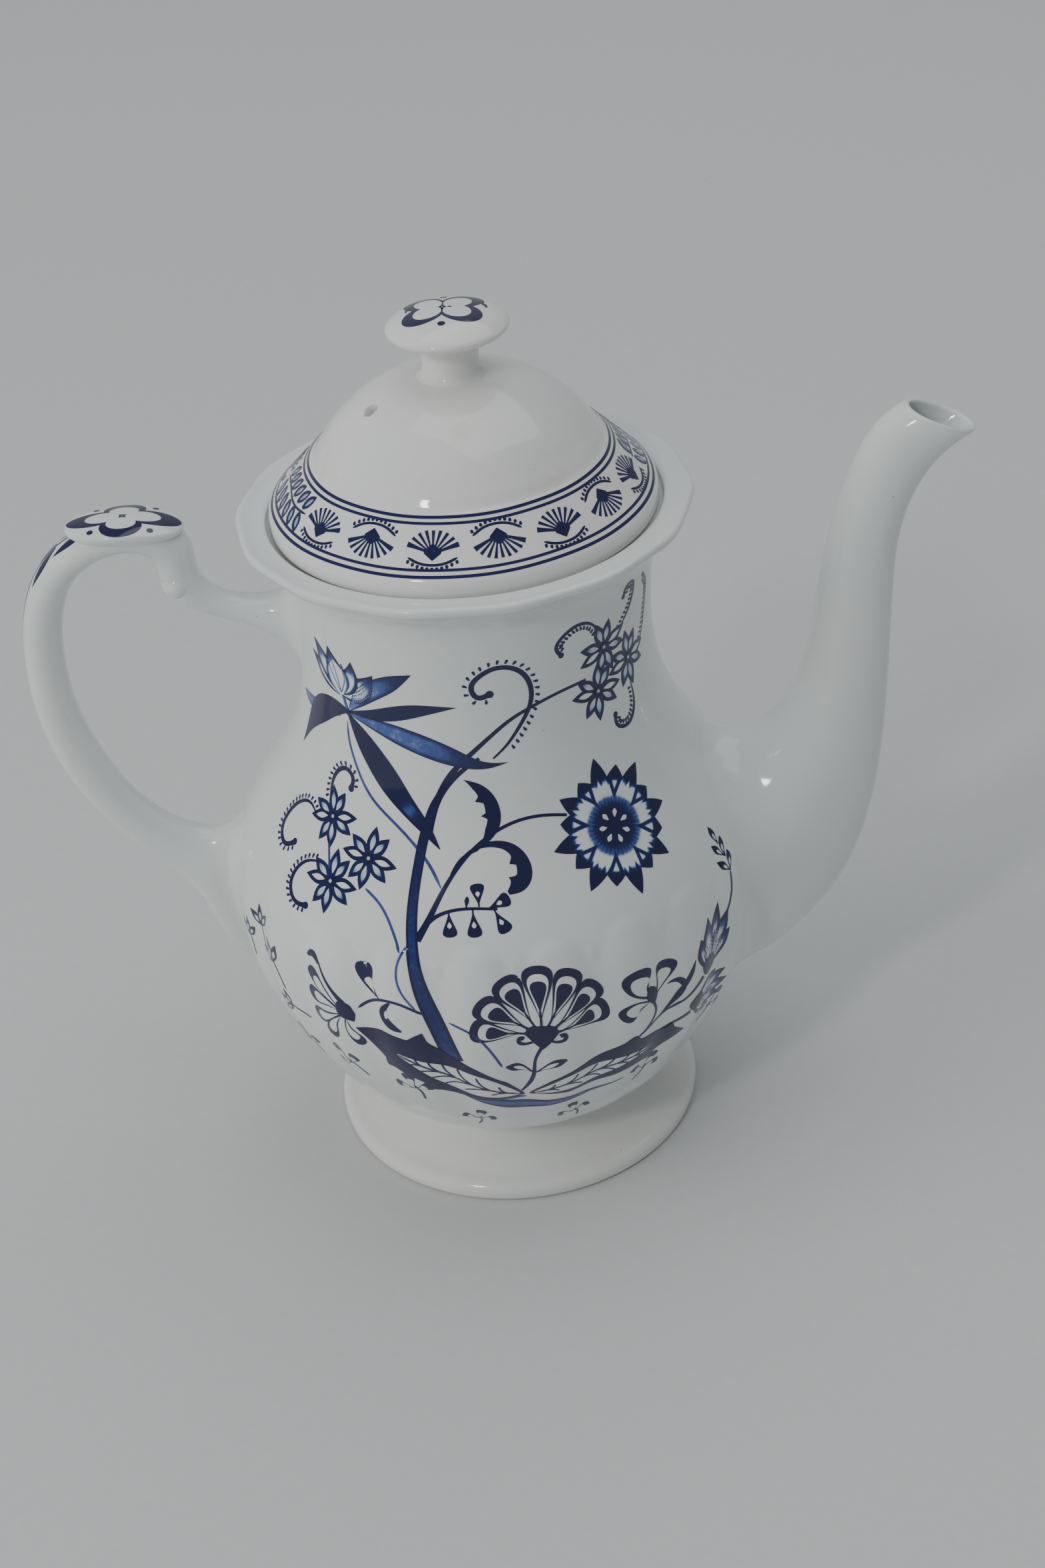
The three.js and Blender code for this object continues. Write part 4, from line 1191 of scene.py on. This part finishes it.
def paint_small_leaves(p):
    """The two toothed leaves and the berries beside the main stem."""
    teeth = [(0, 0.3), (0.22, 1.3), (0.36, 1.2), (0.40, 2.9), (0.44, 1.6), (0.58, 1.5), (0.66, 3.4),
             (0.70, 1.8), (0.84, 1.3), (1, 0)]
    p.ribbon([(-0.2, 126.8), (2.8, 131.5), (3.0, 137.5), (0.2, 141.8), (-4.2, 144)], teeth,
             [0.2, 1.3, 2.0, 2.0, 1.5, 0.7, 0], rows=70, across=7)
    inner = [(0, 0.2), (0.3, 0.5), (0.5, 0.8), (0.60, 1.2), (0.66, 3.0), (0.70, 1.4), (0.80, 1.6),
             (0.86, 3.6), (0.92, 2.4), (1, 0.8)]
    p.ribbon([(-7.4, 121.4), (-3.4, 125.6), (2, 127.2), (7.4, 125.4), (9.7, 120.6), (8.3, 116.2),
              (5.6, 114.6)],
             [0.3, 0.4, 0.7, 1.3, 2.0, 2.0, 0.2], inner, rows=80, across=7)
    berries(p, [((-1.5, 112), (-1.9, 117.8)), ((-8.5, 111), (-8, 104.4)), ((-3, 111.3), (-2.6, 104.4)),
                ((1.8, 111.2), (4.4, 105.2)), ((0.2, 111.3), (5.6, 113.8))], 1.6)
    p.ribbon([(-4.5, 111.5), (-4.2, 114.6)], [0.2, 0.3, 0.6, 0.2], rows=10)


def paint_fan(p):
    """The fan flower on its stem, with a pair of looped leaves."""
    fan_flower(p, 9.3, 74.2)
    p.ribbon([(9.2, 70.4), (7.6, 65), (7.2, 59.6), (5.8, 53.6), (4.2, 50.4)], [0.5, 0.4, 0.5, 0.6, 0.4],
             tone=0.9, rows=50)
    at = (7.4, 59.2, 0, 1.0)
    for side, reach in ((-1, 7.4), (1, 8.4)):
        p.ribbon([(0, 0), (side * reach * 0.5, 3.0), (side * reach, 4.3)], [0.2, 0.5, 1.2, 1.6, 0.3], at=at,
                 rows=24)
        p.ribbon([(side * 1.6, 1.2), (side * reach * 0.5, 2.9), (side * reach * 0.72, 3.7)],
                 [0.05, 0.4, 0.7, 0.2], tone=0.02, layer=1, at=at, rows=16)


def paint_great_leaves(p):
    """The two great leaves at the root, toothed and dark, hollowed by a veined pale panel."""
    upper = [(0, 0.4), (0.15, 5.0), (0.35, 7.4), (0.55, 8.4), (0.66, 9.4), (0.72, 12.4), (0.74, 7.4),
             (0.88, 5.0), (1, 0)]
    lower = [(0, 0.3), (0.2, 6.8), (0.42, 8.4), (0.5, 10.2), (0.53, 7.4), (0.72, 7.4), (0.76, 8.8),
             (0.79, 5.4), (1, 0)]
    serrated_leaf(p, [(4.6, 48.4), (-3, 53.2), (-12, 59.5), (-20.5, 66), (-31, 72.6)], lower, upper,
                  (0.03, 0.75, 4.9, 6))
    upper = [(0, 0.3), (0.15, 3.8), (0.4, 6.6), (0.58, 8.2), (0.64, 9.6), (0.67, 6.6), (0.84, 4.6),
             (0.88, 5.8), (0.9, 3.4), (1, 0)]
    lower = [(0, 0.2), (0.2, 5.2), (0.5, 6.2), (0.7, 5.8), (0.78, 7.0), (0.81, 4.2), (1, 0)]
    serrated_leaf(p, [(6.0, 48.4), (14, 51.4), (24, 54), (34, 55.4), (45.5, 54.6)], upper, lower,
                  (0.03, 0.78, 3.7, 6))
    p.ribbon([(-17, 53.4), (-9, 50), (0, 47.6), (5, 46.8)], [0.2, 1.0, 1.3, 1.0, 0.2],
             tone=inked(0.5, 0.95, 0.2), layer=2, rows=40)
    p.ribbon([(-9, 48.6), (-1, 44.4), (8, 41.4), (18, 41.8), (30, 43.6)], [0.3, 2.1, 2.4, 1.5, 0.6, 0.1],
             tone=inked(0.55, 1.0, 0.25), layer=1, rows=50, across=7)


def paint_heart(p):
    """The heart flower and its stem, right of the fan."""
    at = (33.5, 76.6, 0, 1.0)
    for (a, b, c), wide in ((((1, -1.5), (-3.4, 4.6), (-4.2, 10.4)), 3.7),
                            (((1, -1.5), (4.2, 3.4), (6.4, 8.6)), 3.0),
                            (((1, -1.5), (-4.4, -1.6), (-8.6, -4.2)), 2.6)):
        p.ribbon([a, b, c], tear(1.25 * wide), at=at, rows=26, across=7)
        a, b, c = np.array(a, float), np.array(b, float), np.array(c, float)
        p.ribbon([a + (b - a) * 0.3, b * 0.95, a + (c - a) * 0.78], tear(0.8 * wide), tone=0.02, layer=1,
                 at=at, rows=20)
    p.ribbon([(-0.6, 3.4), (0.6, 0), (1.2, -3.4)], [0.5, 1.9, 1.5, 0.2], layer=2, at=at, rows=16)
    p.ribbon([(34.2, 74.4), (35.2, 69.6), (33, 65.4), (28.6, 61.6)], 0.42, tone=0.8, rows=30)
    p.ribbon([(30.5, 63.2), (36.5, 66.8), (42, 68.6)], 0.38, tone=0.8, rows=30)
    p.ribbon([(36, 66.4), (41, 71.4), (43.4, 75.2)], [0.3, 0.5, 1.0, 1.3, 0.2], rows=26)
    p.ribbon([(42.9, 74), (41, 77), (38.2, 77.2)], [0.9, 0.8, 0.1], rows=16)
    p.ribbon([(42.8, 74), (44.6, 77.4), (45.6, 80.4)], [0.9, 0.9, 0.1], rows=16)


def paint_lily(p):
    """The lily spray by the spout: two flowers with jagged dark petals, and a spike of buds above them."""
    shaded = inked(0.1, 1.0, 0.3, tip=1.0)
    for across, along, turn, size in ((50.5, 75, -22, 1.0), (47.5, 64, -100, 0.92)):
        at = (across, along, turn, size)
        for spread, reach, wide in ((-42, 11.0, 2.6), (38, 11.4, 2.6), (-20, 14.6, 2.7), (17, 15.4, 2.6),
                                    (0, 17, 2.4)):
            tip = heading(90 - spread, reach)
            p.ribbon([(0, 0), tip * [0.66, 0.55], tip], sized([0.2, 0.8, 1.0, 1.0, 0.6, 0], wide),
                     tone=shaded, at=at, rows=26, across=7, layer=1)
        p.ribbon([(0, -3.0), (0, 0.5), (0, 3.0)], [0.8, 2.8, 3.2, 1.2], layer=2, at=at, rows=16)
        p.ribbon([(0, 3.5), (0, 9.5)], [0.1, 0.5, 0.2], tone=0.7, layer=3, at=at, rows=10)
    p.ribbon([(48.5, 72.5), (44, 69), (39, 67.6)], [0.8, 0.5, 0.3], rows=20)
    p.ribbon([(46, 61.4), (40, 60.6), (34, 58.8)], [0.8, 0.5, 0.3], rows=20)
    p.ribbon([(56.5, 84), (60, 90.6), (61.5, 96)], 0.36, tone=0.85, rows=20)
    for across, along, turn in ((61.6, 96, 38), (61.6, 96, -28), (62, 100, 30), (62, 100, -26),
                                (62.2, 103.6, 2)):
        at = (across, along, turn, 1.0)
        p.ribbon([(0, 0), (0, 2.6), (0, 5.4)], [0.15, 0.5, 1.0, 0.9, 0.1], at=at, rows=14)
        p.ribbon([(0, 1.2), (0, 3.2)], [0.05, 0.3, 0.4, 0.1], tone=0.1, layer=1, at=at, rows=8)


def paint_left_spray(p):
    """The spray low on the left: a bud, a curl, and a flower with open petals."""
    p.ribbon([(-14.5, 82.4), (-19, 85), (-24.5, 84.6), (-29.5, 80)], 0.42, tone=0.9, rows=40)
    p.ribbon([(-23.5, 84.6), (-26.2, 88.6), (-27.6, 95)], tear(2.7), rows=24)
    p.ribbon([(-24.8, 86.4), (-26.6, 90.6)], tear(1.3), tone=0.03, layer=1, rows=14)
    p.ribbon([(-21.5, 84.8), (-23.4, 81), (-22, 77.4), (-19.6, 76)], [0.3, 0.9, 1.2, 1.3, 0.3], rows=24)
    p.ribbon([(-22.4, 82.2), (-22.7, 79.4)], [0.1, 0.6, 0.2], tone=0.1, layer=1, rows=10)
    at = (-32.8, 77.2, 0, 1.0)
    p.ribbon([(2.4, 1.6), (0, 0.4), (-1.8, -1.2)], [1.4, 3.4, 3.0, 1.0], layer=2, at=at, rows=18)
    for a, b, c, wide in (((0, 0), (-6, 4.6), (-11.5, 10.2), 1.9), ((0, 0), (-6.4, 1.6), (-12.8, 1.4), 2.2),
                          ((0, 0), (-4.6, -5.2), (-6.8, -11.6), 1.8), ((0, 0), (0.2, -6), (3.4, -11), 1.7),
                          ((0, 0), (-7, -4), (-12, -6), 2.1)):
        p.ribbon([a, b, c], tear(1.2 * wide), at=at, rows=26, across=7)
        a, b, c = np.array(a, float), np.array(b, float), np.array(c, float)
        p.ribbon([b * 0.3, b, b + (c - b) * 0.62], tear(0.72 * wide), tone=0.03, layer=1, at=at, rows=18)
    p.ribbon([(-33, 80.5), (-36.5, 85.4), (-38.5, 90.5)], [0.9, 0.5, 0.3], rows=20)
    p.ribbon([(-38.5, 90), (-40.4, 92), (-42.4, 90.6)], [0.4, 1.1, 0.4], rows=14)
    for across, along, turn, size in ((-54, 80, 30, 1.0), (-60, 87, 15, 0.9), (-50, 68, 75, 0.8),
                                      (-66, 80, 10, 0.8)):
        at = (across, along, turn, size)
        p.ribbon([(0, -7), (0.6, -2), (0, 3)], 0.35, at=at, rows=16)
        for lean in (-52, 0, 50):
            way, foot = heading(90 - lean), np.array([0, 1])
            p.ribbon([foot, foot + 3 * way, foot + 6.8 * way], [0.2, 1.0, 1.5, 1.0, 0.1], at=at, rows=16)
            p.ribbon([foot + 1.6 * way, foot + 4.2 * way], [0.1, 0.6, 0.6, 0.1], tone=0.08, layer=1, at=at,
                     rows=10)


def paint_low_sprigs(p):
    """Small three-looped sprigs scattered low on the bowl."""
    for across, along, turn, size in ((-21, 50, 10, 1.25), (-37, 54, 40, 1.2), (-8, 33, -10, 1.0),
                                      (18, 31, 15, 1.0), (36, 43, -20, 1.1), (56, 53, -30, 1.1),
                                      (-52, 52, 20, 1.1)):
        at = (across, along, turn, size)
        p.ribbon([(0, -5), (0.8, -1), (0, 2)], 0.32, at=at, rows=14, tone=0.85)
        for lean, reach in ((-75, 4.6), (5, 6.4), (70, 4.8)):
            way = heading(90 - lean)
            p.ribbon([(0, 0), reach * way], tear(1.5), at=at, rows=16)
            p.ribbon([0.8 * way, reach * 0.66 * way], tear(0.8), tone=0.05, layer=1, at=at, rows=12)


def paint_body():
    """The whole painting, once on the front and once, turned half round, on the back."""
    p = Painting(body_surface, body_metric)
    for part in (paint_stems, paint_tulip, paint_trios, paint_small_leaves, paint_fan, paint_great_leaves,
                 paint_heart, paint_lily, paint_left_spray, paint_low_sprigs):
        part(p)
    aster(p, 36.2, 124)
    p.make("front_painting", "pot", "body_glaze")
    p.make("back_painting", "pot", "body_glaze", 180)


# ---- the lid's painted band, in degrees round it and millimetres up its slope ----------------------------
BAND_LENGTH = float(np.linalg.norm(BAND_LINE[1] - BAND_LINE[0]))


def band_surface(across, along):
    """The place on the lid's sloping band."""
    share = along / BAND_LENGTH
    r = BAND_LINE[0, 0] + (BAND_LINE[1, 0] - BAND_LINE[0, 0]) * share
    z = BAND_LINE[0, 1] + (BAND_LINE[1, 1] - BAND_LINE[0, 1]) * share
    theta = np.radians(across)
    return np.stack([r * np.cos(theta), r * np.sin(theta), z], axis=-1)


def band_metric(along):
    """Millimetres to a degree round the band."""
    return (BAND_LINE[0, 0] + (BAND_LINE[1, 0] - BAND_LINE[0, 0]) * along / BAND_LENGTH) * math.pi / 180


def shell_fan(p, across, upright):
    """A shell of nine rays over a dark foot, with a ticked line bowed beneath it."""
    at = (across, 5.7, 0, 1.1) if upright else (across, BAND_LENGTH - 5.7, 180, 1.1)
    p.ribbon([(0, -1.3), (0, 2.3)], [(0, 0.1), (0.45, 1.9), (0.62, 1.9), (1, 0.3)], at=at, rows=14)
    for lean in np.linspace(-66, 66, 9):
        way = heading(90 - lean)
        reach = 5.4 + 0.7 * abs(lean) / 66
        width = 0.4 if abs(lean) > 50 else 0.25
        p.ribbon([way * [0.9, 0.4] + [0, 0.4], reach * way], sized([0.7, 0.8, 1.1, 1.5], width), tone=0.95,
                 layer=1, at=at, rows=8, across=3)
    bow = [(-5.4, -0.5), (-3.0, -1.8), (0, -2.3), (3.0, -1.8), (5.4, -0.5)]
    p.ribbon(bow, 0.3, at=at, rows=24, across=3)
    for x in np.linspace(-5.3, 5.3, 11):
        y = -2.3 + 1.8 * (x / 5.4) ** 2
        p.ribbon([(x * 0.99, y - 0.5), (x * 1.03, y - 1.35)], [0.24, 0.36, 0.34, 0.12], tone=0.95, at=at,
                 rows=5, across=3)


def leaf_braid(p, across, half_span):
    """A plait of two rows of short leaves that meet along a wavy middle line."""
    p.ribbon([(across - half_span, 7.3), (across - half_span / 3, 7.9), (across + half_span / 3, 6.9),
              (across + half_span, 7.4)], 0.3, rows=40)
    count = 6
    for k in range(count):
        place = across - half_span + (k + 0.5) * 2 * half_span / count
        for side in (-1, 1):
            at = (place, 7.3 + side * 0.4, 0, 1.0)
            p.ribbon([(-0.9, side * 0.2), (0.2, side * 2.3), (1.9, side * 4.6)],
                     [0.5, 1.25, 1.45, 1.1, 0.2], tone=0.92, at=at, rows=16)
            p.ribbon([(-0.2, side * 1.1), (0.5, side * 2.4), (1.3, side * 3.7)], [0.1, 0.45, 0.5, 0.1],
                     tone=0.4, layer=1, at=at, rows=12)


def paint_lid():
    """Two pairs of blue lines round the band, with shells turned alternately up and down, and two braids."""
    p = Painting(band_surface, band_metric)
    full = np.linspace(0, 360, 241)
    for along, half in ((0.25, 0.40), (1.95, 0.36), (BAND_LENGTH - 1.9, 0.36), (BAND_LENGTH - 0.35, 0.40)):
        wobble = 0.06 * np.sin(np.radians(5 * full)) + 0.04 * np.sin(np.radians(11 * full + 40))
        height = (along + wobble)[:, None] + half * np.array([-1, 0, 1])
        p.lay(np.repeat(full[:, None], 3, axis=1), height, 0.95, 0)
    for half_turn in (0, 180):
        for k in range(7):
            shell_fan(p, -139.9 + 21.3 * k + half_turn, k % 2 == 0)
        leaf_braid(p, -76 + 21.3 * 4.225 + half_turn, 15.5)
    p.make("lid_band_painting", "lid", "lid_glaze")


def quatrefoil(p, at, petals, dots, hooded=0.72):
    """White oval petals, each inside a dark hood that thickens at its outer end, with small round dots."""
    for turn, reach, half in petals:
        local = (at[0], at[1], at[2] + turn, at[3])
        p.ribbon([(0.2, 0), (reach, 0)], oval(half), at=local, rows=30, across=9)
        p.ribbon([(0.8, 0), (reach * hooded, 0)], oval(0.7 * half), tone=0, layer=1, at=local, rows=30,
                 across=9)
    for turn, reach, radius in dots:
        p.dot(reach, 0, radius, at=(at[0], at[1], at[2] + turn, at[3]))


def flat_metric(along):
    """Both directions are in millimetres."""
    return np.ones(np.shape(along))


def paint_knob():
    """A quatrefoil on the knob's face, with a dot in front and behind and short strokes at its sides."""
    p = Painting(lambda x, y: np.stack([x, y, knob_top(x, y)], axis=-1), flat_metric)
    quatrefoil(p, (-0.8, 1.0, 0, 1.0), [(turn, 11.2, 4.3) for turn in (-144, -36, 36, 144)],
               [(-90, 8.6, 0.95), (90, 7.6, 0.9)])
    for side in (-1, 1):
        for y, lean in ((3.4, 0.9), (6.4, 1.4)):
            p.ribbon([(side * (10.6 - 0.25 * y), y - 2.4), (side * (10.0 - 0.25 * y), y - 0.4),
                      (side * (8.4 - 0.3 * y), y + lean)],
                     [0.1, 0.5, 0.45, 0.05], rows=12)
    p.make("knob_painting", "lid", "knob_glaze")


def paint_thumb_rest():
    """The quatrefoil on the thumb rest, its front and back petals wrapping over the edge."""
    p = Painting(lambda x, y: np.stack([x, y, thumb_top(x, y)], axis=-1), flat_metric)
    side = THUMB_WIDE - 0.3
    quatrefoil(p, (THUMB_X, 0, 0, 1.0), [(180, THUMB_HALF - 0.4, 3.6), (0, THUMB_HALF - 0.4, 3.6),
                                         (-90, side, 5.4), (90, side, 5.4)],
               [(turn, 9.6, 0.85) for turn in (-142, -38, 38, 142)], hooded=0.66)
    p.make("thumb_painting", "pot", "thumb_glaze")


def handle_back(across, along):
    """The handle's outer face: millimetres across it, and millimetres down it from the thumb rest."""
    place = np.linspace(0.42, 0.75, 200)
    line = limb(HANDLE_STATIONS, place, np.array([np.pi]), LIMB_SQUARE)[:, 0]
    run = np.concatenate([[0], np.cumsum(np.linalg.norm(np.diff(line, axis=0), axis=1))])
    at = np.interp(along, run, place)
    edges = curve(HANDLE_STATIONS, at.ravel(), even=True).reshape(*at.shape, 5)
    angle = np.pi - across / 6.5 * 0.8
    radius = squared(angle, LIMB_SQUARE)
    middle, reach = (edges[..., 0:2] + edges[..., 2:4]) / 2, (edges[..., 0:2] - edges[..., 2:4]) / 2
    face = middle + reach * (np.cos(angle) * radius)[..., None]
    return np.stack([face[..., 0], -edges[..., 4] * np.sin(angle) * radius, face[..., 1]], axis=-1)


def paint_handle():
    """Pairs of pointed leaves down the handle's back, on a thin middle stem."""
    p = Painting(handle_back, flat_metric)
    p.ribbon([(0, 6), (0.3, 26), (0, 52)], 0.35, tone=0.8, rows=60)
    for along in (6, 17):
        for side in (-1, 1):
            p.ribbon([(side * 1.2, along), (side * 3.4, along + 5), (side * 4.6, along + 12)],
                     [0.2, 1.2, 1.5, 1.0, 0], rows=30)
    p.make("handle_painting", "pot", "handle_glaze")


# ---- floor, light and camera -----------------------------------------------------------------------------
PAPER_DARK, PAPER_PALE = (0.60, 0.605, 0.60, 1), (0.64, 0.645, 0.64, 1)
POT_MIDDLE = Vector((0, 0, 0.1))


def soft_light(name, at, size, power, colour, mirrored=True):
    """A rectangular light aimed at the pot, which may be left out of what the glaze mirrors."""
    data = bpy.data.lights.new(name, "AREA")
    data.shape, data.size, data.size_y = "RECTANGLE", size[0], size[1]
    data.energy, data.color = power, colour
    lamp = bpy.data.objects.new(name, data)
    lamp.location = at
    lamp.rotation_mode = "QUATERNION"
    lamp.rotation_quaternion = (POT_MIDDLE - Vector(at)).to_track_quat("-Z", "Y")
    lamp.visible_glossy = mirrored
    bpy.context.scene.collection.objects.link(lamp)


def build_stage():
    """A plain pale sweep: a floor that curves up into a wall behind."""
    half, back, bend = 3.0, 1.6, 0.5
    arc = np.linspace(0, np.pi / 2, 13)
    curved = np.stack([back + bend * np.sin(arc), bend * (1 - np.cos(arc))], axis=1)
    rows = np.concatenate([[[-2.5, 0]], curved, [[back + bend, 3.0]]])
    verts = [(x, y, z - 0.0001) for y, z in rows for x in (-half, half)]
    faces = [(2 * i, 2 * i + 1, 2 * i + 3, 2 * i + 2) for i in range(len(rows) - 1)]
    mesh = bpy.data.meshes.new("studio_sweep")
    mesh.from_pydata(verts, [], faces)
    mesh.polygons.foreach_set("use_smooth", np.full(len(faces), True))
    floor = bpy.data.objects.new("studio_sweep", mesh)
    bpy.context.scene.collection.objects.link(floor)
    paper = bpy.data.materials.new("studio_paper")
    paper.use_nodes = True
    nodes, links = paper.node_tree.nodes, paper.node_tree.links
    place = nodes.new("ShaderNodeTexCoord")
    fibre = noise(nodes, links, place.outputs["Object"], 300, 4)
    tint = mixed(nodes, links, fibre, PAPER_DARK, PAPER_PALE)
    links.new(tint, nodes["Principled BSDF"].inputs["Base Color"])
    nodes["Principled BSDF"].inputs["Roughness"].default_value = 0.85
    mesh.materials.append(paper)


def build_light():
    """A small window-like light at the front left, a broad soft screen on the left that the glaze doesn't
    mirror, and another screen above."""
    world = bpy.data.worlds.new("studio_air")
    bpy.context.scene.world = world
    world.use_nodes = True
    world.node_tree.nodes["Background"].inputs["Color"].default_value = (0.84, 0.9, 0.97, 1)
    world.node_tree.nodes["Background"].inputs["Strength"].default_value = 0.32
    soft_light("window", (-0.75, -1.35, 1.3), (0.16, 0.24), 6, (1.0, 0.985, 0.96))
    soft_light("left_screen", (-2.6, -0.9, 1.3), (2.4, 2.2), 40, (1.0, 0.99, 0.97), mirrored=False)
    soft_light("overhead", (0.4, 0.5, 2.4), (2.4, 2.4), 22, (0.97, 0.985, 1.0))


def build_camera():
    """The camera looks down at the pot's painted side, nearly square to the plane of spout and handle."""
    yaw, pitch, roll, turn = (math.radians(a) for a in (0.87, 33.65, -5.06, 4.0))
    ahead = np.array([math.sin(yaw) * math.cos(pitch), math.cos(yaw) * math.cos(pitch), -math.sin(pitch)])
    right = np.array([math.cos(yaw), -math.sin(yaw), 0])
    up = np.cross(right, ahead)
    right, up = right * math.cos(roll) + up * math.sin(roll), up * math.cos(roll) - right * math.sin(roll)
    spin = np.array(Matrix.Rotation(turn, 3, "Z"))
    right, up, ahead = spin @ right, spin @ up, spin @ ahead
    stand = np.array([AXIS_X * MM + 0.0382, -0.546, 0.4675])
    data = bpy.data.cameras.new("camera")
    data.lens, data.sensor_width = 55.9, 36.0
    data.clip_start, data.clip_end = 0.01, 20
    camera = bpy.data.objects.new("camera", data)
    bpy.context.scene.collection.objects.link(camera)
    bpy.context.scene.camera = camera
    pose = np.eye(4)
    pose[:3] = np.column_stack([right, up, -ahead, stand])
    camera.matrix_world = Matrix(pose.tolist())


for make in (build_stage, build_light, build_camera, build_body, build_foot, build_spout, build_handle,
             build_scroll_bulb, build_thumb_rest, build_lid, build_collar, build_knob, paint_body, paint_lid,
             paint_knob, paint_thumb_rest, paint_handle):
    make()
